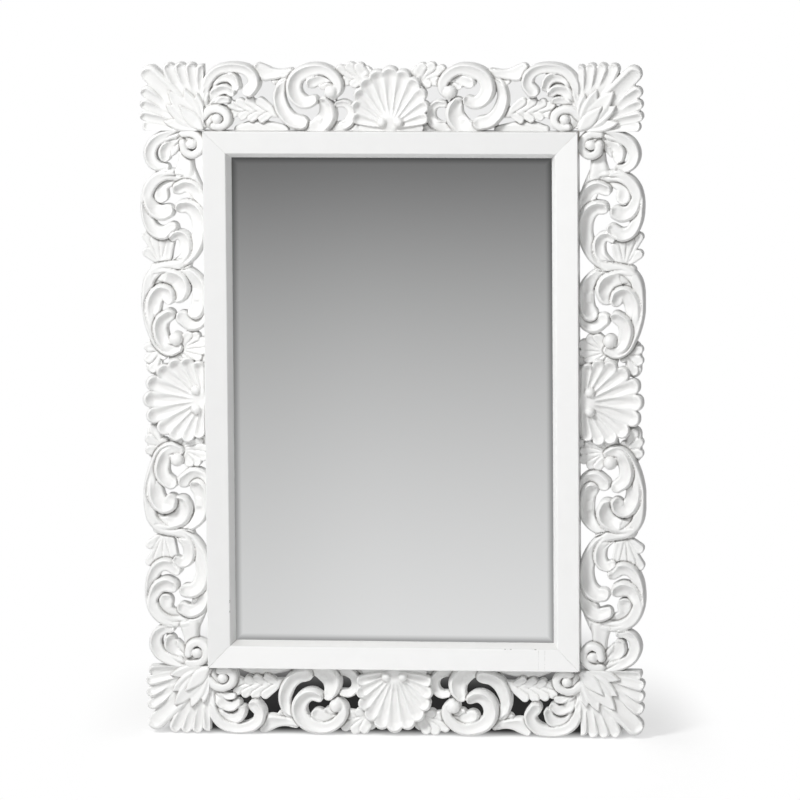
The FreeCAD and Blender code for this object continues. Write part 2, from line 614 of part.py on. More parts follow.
def corner_strokes():
    """Nine leaf fingers in the corner square, five leaves over them and a pointed leaf on the diagonal."""
    fingers = (((4, 34), (2, 62.5), 5.4), ((10, 36.5), (13, 64), 5.6), ((17.5, 40), (24, 64), 5.8),
               ((25, 40), (35.5, 63), 6.3), ((29, 3), (57, 4), 5.4), ((31, 9), (59.5, 15), 5.6),
               ((32, 17), (59, 27), 5.8), ((34, 24), (58, 39.5), 6.2), ((29, 32), (54.5, 58), 9.2))
    heel_share = 0.25
    heel_width = 4.6
    strokes = []
    for root, tip, width in fingers:
        heel = (2 + root[0] * heel_share, 2 + root[1] * heel_share, heel_width)
        strokes.append(("relief_middle", (heel, root + (width,), tip + (width,))))
    leaves = ((8, 36, 5), (19, 40, 5.8), (32, 35, 7.2), (35, 21.5, 6.2), (31, 8, 5.4))
    leaf_heel = (2.5, 3, 3.4)
    widest_at = 0.55
    tip_share = 0.4
    for along, out, width in leaves:
        widest = (along * widest_at, out * widest_at, width)
        strokes.append(("relief_high", (leaf_heel, widest, (along, out, width * tip_share))))
    strokes.append(("relief_crown", ((2, 2.5, 2.8), (11, 12, 6), (22.5, 24, 1.4))))
    return strokes


# Shells: flutes that fan out from a hinge, each given by its tip on the same squares


RAIL_FLUTES = ((0, 60), (13.5, 57), (24, 49), (31, 38), (34, 25.5), (34, 13))
STILE_FLUTES = ((0, 60), (16.5, 57), (29, 46), (35.5, 33.5), (37.5, 20.5), (34, 8.5))
FLUTE_WIDTHS = (7.6, 7.2, 6.8, 6.4, 5.8, 5.2)
FLUTE_ROOT = 4.0
FLUTE_START = 8.0
RIM_WIDTH = 1.15
RIM_BACK = 0.2
GROOVE_WIDTH = 0.9
GROOVE_TAPER = 0.25
GROOVE_START_DEPTH = 0.33
SEAT_SHARE = 0.85
SHELL_HINGE = 4.0
HINGE_RADIUS = 9.0
BEAD = (9.0, 8.0, 5.0)
BASE_LEAVES = [tuple((side * along, out, width) for along, out, width in ((3, 2.5, 4.4), (16, 3, 4.8), (31, 3, 4)))
               for side in (1, -1)]


class Pattern:
    """The squared pattern at the size of one board: turns strokes into flat faces and raised solids."""

    def __init__(self, along, out):
        """Millimetres in one square, along the board and out across it."""
        self.along = along
        self.out = out
        self.mean = math.sqrt(along * out)

    def spot(self, along, out):
        """Point of the pattern in millimetres."""
        return FreeCAD.Vector(along * self.along, out * self.out, 0)

    def face(self, points, grow=0.0):
        """One stroke as a face: two smooth sides and two round ends, or a disc for a single point."""
        spots = [self.spot(along, out) for along, out, width in points]
        halves = [width * self.mean + grow for along, out, width in points]
        if len(spots) == 1:
            return Part.Face(Part.Wire(Part.makeCircle(halves[0], spots[0])))
        last = len(spots) - 1
        runs = [spots[min(index + 1, last)] - spots[max(index - 1, 0)] for index in range(last + 1)]
        runs = [run.normalize() for run in runs]
        sides = [FreeCAD.Vector(-run.y, run.x, 0) for run in runs]
        left = [spot + side * half for spot, side, half in zip(spots, sides, halves)]
        right = [spot - side * half for spot, side, half in zip(spots, sides, halves)]
        nose = spots[last] + runs[last] * halves[last]
        heel = spots[0] - runs[0] * halves[0]
        edges = [smooth_edge(left), Part.Arc(left[last], nose, right[last]).toShape(),
                 smooth_edge(right[::-1]), Part.Arc(right[0], heel, left[0]).toShape()]
        return Part.Face(Part.Wire(edges))

    def raised(self, points, top, bottom=0.0, grow=0.0):
        """One stroke raised from one height above the wall to another."""
        solid = self.face(points, grow).extrude(FreeCAD.Vector(0, 0, top - bottom))
        solid.translate(FreeCAD.Vector(0, 0, bottom))
        return solid


def smooth_edge(spots):
    """Curve through the spots, or a straight edge between two."""
    if len(spots) == 2:
        return Part.LineSegment(*spots).toShape()
    curve = Part.BSplineCurve()
    curve.interpolate(spots)
    return curve.toShape()


def flute_rows(tips):
    """Each flute of a shell, on both sides of its axis, as (tip along, tip out, half width)."""
    for (along, out), width in zip(tips, FLUTE_WIDTHS):
        for side in ((1, -1) if along else (1,)):
            yield side * along, out, width


def shell_outline(tips, share):
    """Strokes that cover a shell, with the flutes' width multiplied by share."""
    strokes = [((0, SHELL_HINGE, HINGE_RADIUS * share),)]
    for along, out, width in flute_rows(tips):
        end = 1 - RIM_BACK * width / math.hypot(along, out - SHELL_HINGE)
        tip = (along * end, SHELL_HINGE + (out - SHELL_HINGE) * end, width * RIM_WIDTH * share)
        strokes.append(((0, SHELL_HINGE, FLUTE_ROOT * share), tip))
    return strokes


def fused(solids):
    """One solid out of overlapping ones."""
    return solids[0].multiFuse(solids[1:]).removeSplitter() if len(solids) > 1 else solids[0]


def mirrored(shape):
    """The other half of a symmetrical board."""
    return shape.mirror(FreeCAD.Vector(), X_AXIS)


def above_all():
    """A height that no carving reaches."""
    return dim("relief_crown") + dim("seat_height") + dim("bead_rise")


def clip_box(low, high, out):
    """Block that a board may fill: along from low to high, from the moulding's edge to out."""
    return Part.makeBox(high - low, out, above_all(), FreeCAD.Vector(low, 0, 0))


def shell_seat(pattern, tips):
    """Flat ground under a shell, a little smaller than the shell."""
    return [pattern.raised(stroke, dim("seat_height")) for stroke in shell_outline(tips, SEAT_SHARE)]


def shell_room(pattern, tips):
    """Space above the seat that a shell takes, with its clearance."""
    grow = dim("shell_clearance")
    strokes = shell_outline(tips, 1.0) + BASE_LEAVES
    return fused([pattern.raised(stroke, above_all(), dim("seat_height"), grow) for stroke in strokes])


def carved_board(pattern, strokes, tips, half, band):
    """Half the strokes, their mirror image and the shell's seat, trimmed to the board's edges."""
    side = fused([pattern.raised(points, dim(level)) for level, points in strokes])
    board = fused([side, mirrored(side)] + shell_seat(pattern, tips))
    board = board.cut(shell_room(pattern, tips))
    return board.common(clip_box(-half, half, band))


def shell(pattern, tips, half, band):
    """A fluted shell that stands on its seat, with two beads at its hinge."""
    bottom = dim("seat_height")
    top = bottom + dim("shell_rise")
    solids = [pattern.raised(stroke, top, bottom) for stroke in shell_outline(tips, 1.0)]
    solids += [pattern.raised(leaf, bottom + dim("shell_leaf_rise"), bottom) for leaf in BASE_LEAVES]
    body = fused(solids)
    grooves = []
    for along, out, width in flute_rows(tips):
        reach = pattern.spot(along, out - SHELL_HINGE)
        way = FreeCAD.Vector(reach).normalize()
        wide = width * pattern.mean * GROOVE_WIDTH
        narrow = wide * GROOVE_TAPER
        first = pattern.spot(0, SHELL_HINGE) + way * (FLUTE_START * pattern.mean)
        end = pattern.spot(0, SHELL_HINGE) + reach - way * wide
        first.z = top + narrow - dim("flute_depth") * GROOVE_START_DEPTH
        end.z = top + wide - dim("flute_depth")
        run = end - first
        grooves.append(Part.makeCone(narrow, wide, run.Length, first, run))
        grooves.append(Part.makeSphere(wide, end))
    for groove in grooves:
        body = body.cut(groove)
    beads = []
    for side in (1, -1):
        along, out, radius = BEAD
        beads.append(pattern.raised(((side * along, out, radius),), bottom + dim("bead_rise"), bottom))
    return fused([body] + beads).common(clip_box(-half, half, band))


def board_place(x, z, degrees):
    """Stand a flat pattern up against the wall, facing -Y, and turn it about Y."""
    rotation = turn(Y_AXIS, degrees).multiply(turn(X_AXIS, 90))
    return FreeCAD.Placement(FreeCAD.Vector(x, 0, value_of(CENTRE_Z) + z), rotation)


def carved_piece(label, shape, placement):
    """A carved piece with its dowel holes, as an object of the document."""
    for hole in dowel_holes.get(label, []):
        tool = hole.Shape.copy()
        tool.transformShape(placement.inverse().toMatrix())
        shape = shape.cut(tool)
    piece = doc.addObject("Part::Feature", "Carving")
    piece.Shape = shape
    piece.Placement = placement
    return keep(label, piece)


half_width = value_of(HALF_W)
half_height = value_of(HALF_H)
rail_band = dim("rail_band")
stile_band = dim("stile_band")
rail_pattern = Pattern(half_width / RAIL_SQUARES[0], rail_band / RAIL_SQUARES[1])
stile_pattern = Pattern(half_height / STILE_SQUARES[0], stile_band / STILE_SQUARES[1])
corner_pattern = Pattern(stile_band / CORNER_SQUARES[0], rail_band / CORNER_SQUARES[1])

carved_rail = carved_board(rail_pattern, rail_strokes(), RAIL_FLUTES, half_width, rail_band)
carved_stile = carved_board(stile_pattern, stile_strokes(), STILE_FLUTES, half_height, stile_band)
rail_shell = shell(rail_pattern, RAIL_FLUTES, half_width, rail_band)
stile_shell = shell(stile_pattern, STILE_FLUTES, half_height, stile_band)
corner_leaf = fused([corner_pattern.raised(points, dim(level)) for level, points in corner_strokes()])
corner_leaf = corner_leaf.common(clip_box(0, stile_band, rail_band))

SIDES = (
    ("carved_rail_top", carved_rail, "shell_top", rail_shell, 0, half_height, 0),
    ("carved_rail_bottom", carved_rail, "shell_bottom", rail_shell, 0, -half_height, 180),
    ("carved_stile_right", carved_stile, "shell_right", stile_shell, half_width, 0, 90),
    ("carved_stile_left", carved_stile, "shell_left", stile_shell, -half_width, 0, -90),
)
for label, board, shell_label, shell_shape, x, z, degrees in SIDES:
    carved_piece(label, board, board_place(x, z, degrees))
    carved_piece(shell_label, shell_shape, board_place(x, z, degrees))

CORNERS = (
    ("corner_leaf_top_right", corner_leaf, half_width, half_height, 0),
    ("corner_leaf_top_left", mirrored(corner_leaf), -half_width, half_height, 0),
    ("corner_leaf_bottom_right", mirrored(corner_leaf), half_width, -half_height, 180),
    ("corner_leaf_bottom_left", corner_leaf, -half_width, -half_height, 180),
)
for label, leaf, x, z, degrees in CORNERS:
    carved_piece(label, leaf, board_place(x, z, degrees))


# Check every object, then write each piece to its own file

GROUPS = {"frame_dowels": len(dowel_pegs), "mitre_keys": len(key_pieces), "button_screws": len(BUTTONS),
          "hanger_screws": len(hanger_fixings)}

doc.recompute()
for item in doc.Objects:
    if "Invalid" in item.State or "Error" in item.State:
        raise RuntimeError(f"{item.Label} failed to build: {item.State}")
for label, piece in nodes.items():
    if piece.Shape.isNull() or not piece.Shape.isValid():
        raise RuntimeError(f"{label} has no valid shape")
    solids = len(piece.Shape.Solids)
    if solids != GROUPS.get(label, 1):
        raise RuntimeError(f"{label} has {solids} solids")

os.makedirs("parts", exist_ok=True)
for label, piece in nodes.items():
    piece.Shape.exportStep(f"parts/{label}.step")
    print(label, [round(size, 1) for size in (piece.Shape.BoundBox.XLength, piece.Shape.BoundBox.YLength,
                                              piece.Shape.BoundBox.ZLength)])
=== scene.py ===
"""Looks of a white carved wall mirror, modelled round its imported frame.

X is to the right, Z is up, the front faces -Y and the wall is the plane y = 0. Sizes are in metres,
apart from the carving, whose strokes are drawn on squared patterns and carved in millimetres.
"""

import json
import logging
import math
from dataclasses import dataclass, field
from enum import Enum
from typing import Callable, Iterable

import bpy
import numpy as np
from mathutils import Matrix, Vector

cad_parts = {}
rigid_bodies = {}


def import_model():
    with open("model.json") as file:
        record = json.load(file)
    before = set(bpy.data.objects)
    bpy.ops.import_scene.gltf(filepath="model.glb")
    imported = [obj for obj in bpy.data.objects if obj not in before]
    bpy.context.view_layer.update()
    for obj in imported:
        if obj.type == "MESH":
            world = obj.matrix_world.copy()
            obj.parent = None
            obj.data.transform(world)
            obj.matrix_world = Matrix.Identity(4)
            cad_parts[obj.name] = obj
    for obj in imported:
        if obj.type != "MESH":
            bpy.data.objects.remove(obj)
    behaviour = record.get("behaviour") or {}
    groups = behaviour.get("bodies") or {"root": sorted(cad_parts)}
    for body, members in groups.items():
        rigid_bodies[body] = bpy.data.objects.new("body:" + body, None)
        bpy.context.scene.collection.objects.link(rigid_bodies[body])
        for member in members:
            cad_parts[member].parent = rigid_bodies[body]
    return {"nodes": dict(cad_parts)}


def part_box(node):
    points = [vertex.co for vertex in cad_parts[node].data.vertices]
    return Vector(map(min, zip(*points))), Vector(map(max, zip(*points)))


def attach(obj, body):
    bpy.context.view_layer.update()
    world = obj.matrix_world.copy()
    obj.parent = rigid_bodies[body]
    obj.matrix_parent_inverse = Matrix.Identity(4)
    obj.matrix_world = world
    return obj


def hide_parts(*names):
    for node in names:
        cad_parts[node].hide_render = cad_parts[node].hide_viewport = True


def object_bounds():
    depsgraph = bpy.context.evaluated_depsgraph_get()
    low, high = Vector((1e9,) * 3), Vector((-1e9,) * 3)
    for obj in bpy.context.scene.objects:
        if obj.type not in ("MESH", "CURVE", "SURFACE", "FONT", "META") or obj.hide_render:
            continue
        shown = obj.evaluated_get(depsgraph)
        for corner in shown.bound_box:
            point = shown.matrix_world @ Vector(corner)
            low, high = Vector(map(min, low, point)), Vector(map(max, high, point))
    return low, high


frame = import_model()

LOG = logging.getLogger("carved_mirror")
CAD_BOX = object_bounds()
MM = 0.001
FIXED_BODY = "frame"

Pair = tuple[float, float]
Point = tuple[float, float, float]
Colour = tuple[float, float, float]
Peg = tuple[float, float, float, float]
Spots = np.ndarray
Carver = Callable[[Spots], tuple[Spots, Spots]]


def opaque(colour: Colour) -> tuple[float, float, float, float]:
    """A colour with full alpha, as node sockets take it."""
    return (*colour, 1.0)


def grey(tone: float) -> tuple[float, float, float, float]:
    """An opaque grey."""
    return opaque((tone, tone, tone))


class Bench:
    """Blender's operators, used the way a modeller uses them by hand."""

    ROUND = 0.5
    WELD = 1e-6

    @staticmethod
    def clear() -> None:
        """Leave edit mode and deselect everything."""
        if bpy.context.mode != "OBJECT":
            bpy.ops.object.mode_set(mode="OBJECT")
        bpy.ops.object.select_all(action="DESELECT")

    @staticmethod
    def take(piece: bpy.types.Object) -> None:
        """Make one object the only selected one, and the active one.

        Args:
            piece: The object to take.
        """
        Bench.clear()
        piece.select_set(True)
        bpy.context.view_layer.objects.active = piece

    @staticmethod
    def edit(piece: bpy.types.Object, mode: str = "VERT") -> None:
        """Open one object in edit mode with nothing selected.

        Args:
            piece: The object to open.
            mode: VERT, EDGE or FACE.
        """
        Bench.take(piece)
        bpy.ops.object.mode_set(mode="EDIT")
        bpy.ops.mesh.select_mode(type=mode)
        bpy.ops.mesh.select_all(action="DESELECT")

    @staticmethod
    def coordinates(piece: bpy.types.Object) -> np.ndarray:
        """Read the places of a mesh's vertices.

        Args:
            piece: The object, in object mode.

        Returns:
            One row (x, y, z) for each vertex.
        """
        flat = np.zeros(len(piece.data.vertices) * 3, np.float32)
        piece.data.vertices.foreach_get("co", flat)
        return flat.reshape(-1, 3).astype(float)

    @staticmethod
    def move_to(piece: bpy.types.Object, places: np.ndarray) -> None:
        """Move every vertex of a mesh to its new place."""
        piece.data.vertices.foreach_set("co", places.astype(np.float32).ravel())
        piece.data.update()

    @staticmethod
    def select_edges(piece: bpy.types.Object,
                     chosen: Callable[[np.ndarray, np.ndarray], bool]) -> None:
        """Select the edges of a mesh by the places of their two ends, ready for edit mode.

        Args:
            piece: The object, in object mode.
            chosen: Says for two ends whether their edge is wanted.
        """
        places = Bench.coordinates(piece)
        for vertex in piece.data.vertices:
            vertex.select = False
        for face in piece.data.polygons:
            face.select = False
        for edge in piece.data.edges:
            first, second = (places[index] for index in edge.vertices)
            edge.select = bool(chosen(first, second))

    @staticmethod
    def bevel(piece: bpy.types.Object, chosen: Callable[[np.ndarray, np.ndarray], bool], width: float,
              segments: int) -> None:
        """Round the chosen edges of a mesh.

        Args:
            piece: The object to round.
            chosen: Says for two ends whether their edge is wanted.
            width: Width of the rounding.
            segments: Number of steps across it.
        """
        Bench.edit(piece, "EDGE")
        bpy.ops.object.mode_set(mode="OBJECT")
        Bench.select_edges(piece, chosen)
        bpy.ops.object.mode_set(mode="EDIT")
        bpy.ops.mesh.bevel(offset=width, segments=segments, affect="EDGES", profile=Bench.ROUND)
        bpy.ops.object.mode_set(mode="OBJECT")

    @staticmethod
    def finish_mesh(piece: bpy.types.Object, angle: float, flat_faces: bool = False) -> None:
        """Merge doubles, turn the normals outwards and shade smooth up to an angle.

        Args:
            piece: The object.
            angle: Largest angle that is shaded smooth, in degrees.
            flat_faces: Whether the large faces stay flat between rounded edges.
        """
        Bench.edit(piece)
        bpy.ops.mesh.select_all(action="SELECT")
        bpy.ops.mesh.remove_doubles(threshold=Bench.WELD)
        bpy.ops.mesh.normals_make_consistent(inside=False)
        bpy.ops.object.mode_set(mode="OBJECT")
        Bench.take(piece)
        bpy.ops.object.shade_smooth_by_angle(angle=math.radians(angle))
        if flat_faces:
            bpy.ops.object.modifier_add(type="WEIGHTED_NORMAL")
            piece.modifiers[-1].keep_sharp = True
            bpy.ops.object.modifier_apply(modifier=piece.modifiers[-1].name)

    @staticmethod
    def copy(master: bpy.types.Object, name: str, matrix: Matrix) -> bpy.types.Object:
        """A copy of a finished piece with its own mesh, put in its place.

        Args:
            master: The piece to copy.
            name: The copy's name.
            matrix: Its place; a mirror image is turned right side out.

        Returns:
            The copy.
        """
        mesh = master.data.copy()
        mesh.name = name
        mesh.transform(matrix)
        if matrix.determinant() < 0:
            mesh.flip_normals()
        piece = bpy.data.objects.new(name, mesh)
        bpy.context.scene.collection.objects.link(piece)
        return piece


# Node trees


class Nodes:
    """Short way to place and link nodes in a material or a group."""

    def __init__(self, tree: bpy.types.NodeTree) -> None:
        """Work on one empty node tree."""
        self.tree = tree

    def add(self, kind: str, settings: dict | None = None, **inputs: object) -> bpy.types.Node:
        """Place a node.

        Args:
            kind: The node's type name, without the ShaderNode in front.
            settings: Properties of the node itself.
            inputs: Socket values or links, with spaces in names written as underscores.

        Returns:
            The node.
        """
        node = self.tree.nodes.new("ShaderNode" + kind)
        for name, value in (settings or {}).items():
            setattr(node, name, value)
        for name, value in inputs.items():
            self.put(node.inputs[name.replace("_", " ")], value)
        return node

    def put(self, socket: bpy.types.NodeSocket, value: object) -> None:
        """Link or set one input socket.

        Args:
            socket: The input.
            value: A socket to link from, or a plain value.
        """
        if isinstance(value, bpy.types.NodeSocket):
            self.tree.links.new(value, socket)
        else:
            socket.default_value = value

    def math(self, operation: str, first: object, second: object = 0.0, third: object = 0.0,
             clamp: bool = False) -> bpy.types.NodeSocket:
        """One calculation on numbers.

        Args:
            operation: The name of Blender's operation.
            first: Its first number or socket.
            second: Its second.
            third: Its third, for operations that take three.
            clamp: Whether the result is kept between 0 and 1.

        Returns:
            The socket that holds the result.
        """
        node = self.tree.nodes.new("ShaderNodeMath")
        node.operation = operation
        node.use_clamp = clamp
        for socket, value in zip(node.inputs, (first, second, third)):
            self.put(socket, value)
        return node.outputs[0]

    def mix(self, factor: object, first: object, second: object) -> bpy.types.NodeSocket:
        """A colour between two colours.

        Args:
            factor: Share of the second colour.
            first: The first colour.
            second: The second colour.

        Returns:
            The socket that holds the colour.
        """
        node = self.add("Mix", {"data_type": "RGBA"})
        for name, value in (("Factor_Float", factor), ("A_Color", first), ("B_Color", second)):
            self.put(next(socket for socket in node.inputs if socket.identifier == name), value)
        return next(socket for socket in node.outputs if socket.identifier == "Result_Color")

    def ramp(self, value: object, low: float, high: float, start: float = 0.0, end: float = 1.0,
             smooth: bool = True) -> bpy.types.NodeSocket:
        """Map a number from one range to another, clamped.

        Args:
            value: The number.
            low: Where the result is start.
            high: Where the result is end.
            start: Result at low.
            end: Result at high.
            smooth: Whether both ends are eased.

        Returns:
            The socket that holds the result.
        """
        node = self.add("MapRange", {"interpolation_type": "SMOOTHSTEP" if smooth else "LINEAR"})
        for name, amount in (("Value", value), ("From Min", low), ("From Max", high), ("To Min", start),
                             ("To Max", end)):
            self.put(node.inputs[name], amount)
        return node.outputs["Result"]

    def noise(self, place: object, scale: float, detail: float = 2.0, roughness: float = 0.5,
              stretch: Point = (1.0, 1.0, 1.0)) -> bpy.types.NodeSocket:
        """Cloudy noise on a place.

        Args:
            place: The coordinates.
            scale: Fineness of the noise.
            detail: Number of finer layers.
            roughness: Strength of the finer layers.
            stretch: Factors on the coordinates, small ones giving long streaks.

        Returns:
            The socket that holds the noise as a number.
        """
        mapped = self.add("Mapping", Vector=place, Scale=stretch)
        texture = self.add("TexNoise", Vector=mapped.outputs["Vector"], Scale=scale, Detail=detail,
                           Roughness=roughness)
        return texture.outputs["Fac"]

    def join(self, kind: str, first: object, second: object, **inputs: object) -> bpy.types.NodeSocket:
        """Mix or add two shaders.

        Args:
            kind: MixShader or AddShader.
            first: The first shader.
            second: The second shader.
            inputs: Other inputs, such as Fac.

        Returns:
            The socket that holds the new shader.
        """
        node = self.add(kind, **inputs)
        shaders = [socket for socket in node.inputs if socket.type == "SHADER"]
        self.put(shaders[0], first)
        self.put(shaders[1], second)
        return node.outputs["Shader"]

    def bump(self, shader: bpy.types.Node, height: object, strength: float, distance: float) -> None:
        """Give a shader a fine relief.

        Args:
            shader: The Principled BSDF.
            height: The relief.
            strength: How strongly it shows.
            distance: Its depth in metres.
        """
        node = self.add("Bump", Strength=strength, Distance=distance, Height=height)
        self.put(shader.inputs["Normal"], node.outputs["Normal"])


class Effect(Enum):
    """Surface effects that several finishes share, each a node group."""

    PAINT_FILM = "paint_film"
    WOOD_FIBRE = "wood_fibre"
    METAL_WEAR = "metal_wear"


class Effects:
    """Builds each shared effect once and places it in materials."""

    def __init__(self) -> None:
        """Start with no group built."""
        self.groups: dict[Effect, bpy.types.NodeTree] = {}

    def group(self, effect: Effect) -> bpy.types.NodeTree:
        """The node group of an effect, built on first use.

        Args:
            effect: The effect.

        Returns:
            Its group.
        """
        if effect not in self.groups:
            makers = {Effect.PAINT_FILM: self.paint_film, Effect.WOOD_FIBRE: self.wood_fibre,
                      Effect.METAL_WEAR: self.metal_wear}
            self.groups[effect] = makers[effect]()
        return self.groups[effect]

    @staticmethod
    def start(effect: Effect, inputs: dict[str, float],
              outputs: Iterable[str]) -> tuple[Nodes, bpy.types.Node, bpy.types.Node]:
        """Begin a group with named number sockets.

        Args:
            effect: The effect that the group makes.
            inputs: Input names with their usual values.
            outputs: Output names.

        Returns:
            The node helper, the group's input node and its output node.
        """
        tree = bpy.data.node_groups.new(effect.value, "ShaderNodeTree")
        for name, value in inputs.items():
            socket = tree.interface.new_socket(name, in_out="INPUT", socket_type="NodeSocketFloat")
            socket.default_value = value
        for name in outputs:
            tree.interface.new_socket(name, in_out="OUTPUT", socket_type="NodeSocketFloat")
        nodes = Nodes(tree)
        return nodes, tree.nodes.new("NodeGroupInput"), tree.nodes.new("NodeGroupOutput")

    def paint_film(self) -> bpy.types.NodeTree:
        """Thick brushed paint: slow mottling, brush drag and a fine orange peel.

        Returns:
            The group, which puts out Tone, Relief and Breaks, where a flaw's line is broken.
        """
        nodes, given, result = self.start(
            Effect.PAINT_FILM, {"Mottle": 0.5, "Peel": 0.5}, ("Tone", "Relief", "Breaks"))
        place = nodes.add("TexCoord").outputs["Object"]
        clouds = nodes.noise(place, scale=38.0, detail=4.0, roughness=0.6)
        drag = nodes.noise(place, scale=140.0, detail=3.0, roughness=0.6, stretch=(1.0, 1.0, 0.16))
        peel = nodes.noise(place, scale=900.0, detail=2.0, roughness=0.5)
        flakes = nodes.noise(place, scale=420.0, detail=2.0, roughness=0.6)
        drag_share = 0.6
        slow = nodes.math("MULTIPLY", nodes.ramp(clouds, low=0.3, high=0.7), given.outputs["Mottle"])
        rough = nodes.math("MULTIPLY", peel, given.outputs["Peel"])
        nodes.put(result.inputs["Tone"], slow)
        nodes.put(result.inputs["Relief"], nodes.math("MULTIPLY_ADD", drag, drag_share, rough))
        nodes.put(result.inputs["Breaks"], nodes.ramp(flakes, low=0.4, high=0.56))
        return nodes.tree

    def wood_fibre(self) -> bpy.types.NodeTree:
        """Fibres of board, card or raw wood: long streaks over small flecks.

        Returns:
            The group, which puts out Streak, Fleck and Relief.
        """
        nodes, given, result = self.start(
            Effect.WOOD_FIBRE, {"Length": 0.12, "Density": 160.0}, ("Streak", "Fleck", "Relief"))
        place = nodes.add("TexCoord").outputs["Object"]
        stretch = nodes.add("CombineXYZ", X=1.0, Y=1.0, Z=given.outputs["Length"])
        mapped = nodes.add("Mapping", Vector=place, Scale=stretch.outputs["Vector"]).outputs["Vector"]
        long = nodes.add("TexNoise", Vector=mapped, Scale=given.outputs["Density"], Detail=5.0,
                         Roughness=0.65).outputs["Fac"]
        short = nodes.noise(place, scale=620.0, detail=3.0, roughness=0.7)
        fleck_share = 0.5
        nodes.put(result.inputs["Streak"], nodes.ramp(long, low=0.32, high=0.68))
        nodes.put(result.inputs["Fleck"], nodes.ramp(short, low=0.58, high=0.7))
        nodes.put(result.inputs["Relief"], nodes.math("MULTIPLY_ADD", short, fleck_share, long))
        return nodes.tree

    def metal_wear(self) -> bpy.types.NodeTree:
        """Plated metal: fine scratches and dull handling marks.

        Returns:
            The group, which puts out Dull and Relief.
        """
        nodes, given, result = self.start(Effect.METAL_WEAR, {"Scratches": 0.5}, ("Dull", "Relief"))
        place = nodes.add("TexCoord").outputs["Object"]
        marks = nodes.noise(place, scale=120.0, detail=4.0, roughness=0.65)
        lines = nodes.noise(place, scale=900.0, detail=2.0, roughness=0.6, stretch=(1.0, 1.0, 0.08))
        nodes.put(result.inputs["Dull"], nodes.ramp(marks, low=0.4, high=0.7))
        nodes.put(result.inputs["Relief"], nodes.math("MULTIPLY", lines, given.outputs["Scratches"]))
        return nodes.tree

    def place(self, nodes: Nodes, effect: Effect, **inputs: float) -> bpy.types.Node:
        """Put an effect's group into a material.

        Args:
            nodes: The material's node helper.
            effect: The effect.
            inputs: The values of the group's inputs there.

        Returns:
            The group node.
        """
        node = nodes.add("Group")
        node.node_tree = self.group(effect)
        for name, value in inputs.items():
            node.inputs[name].default_value = value
        return node


EFFECTS = Effects()


def new_material(name: str) -> tuple[bpy.types.Material, Nodes, bpy.types.Node]:
    """An empty material with a Principled BSDF on its output.

    Args:
        name: The material's name.

    Returns:
        The material, its node helper and the shader node.
    """
    material = bpy.data.materials.new(name)
    material.use_nodes = True
    material.node_tree.nodes.clear()
    nodes = Nodes(material.node_tree)
    shader = nodes.add("BsdfPrincipled")
    output = nodes.add("OutputMaterial")
    nodes.put(output.inputs["Surface"], shader.outputs["BSDF"])
    return material, nodes, shader


@dataclass(frozen=True)
class Mark:
    """A flaw in the paint: a short crack or line of filler, in millimetres from the mirror's middle."""

    across: float
    up: float
    half_width: float
    half_height: float
    strength: float
    feather: Pair = (0.35, -0.15)

    def mask(self, nodes: Nodes, across: object, up: object) -> bpy.types.NodeSocket:
        """How strongly the mark shows at a place.

        Args:
            nodes: The material's node helper.
            across: Distance to the right of the middle, in metres.
            up: Distance above the middle, in metres.

        Returns:
            The socket that holds the mask.
        """
        gaps = []
        for place, middle, half in ((across, self.across, self.half_width),
                                    (up, self.up, self.half_height)):
            away = nodes.math("ABSOLUTE", nodes.math("SUBTRACT", place, middle * MM))
            gaps.append(nodes.math("SUBTRACT", away, half * MM))
        outer, inner = self.feather
        return nodes.ramp(nodes.math("MAXIMUM", *gaps), outer * MM, inner * MM, 0.0, self.strength)


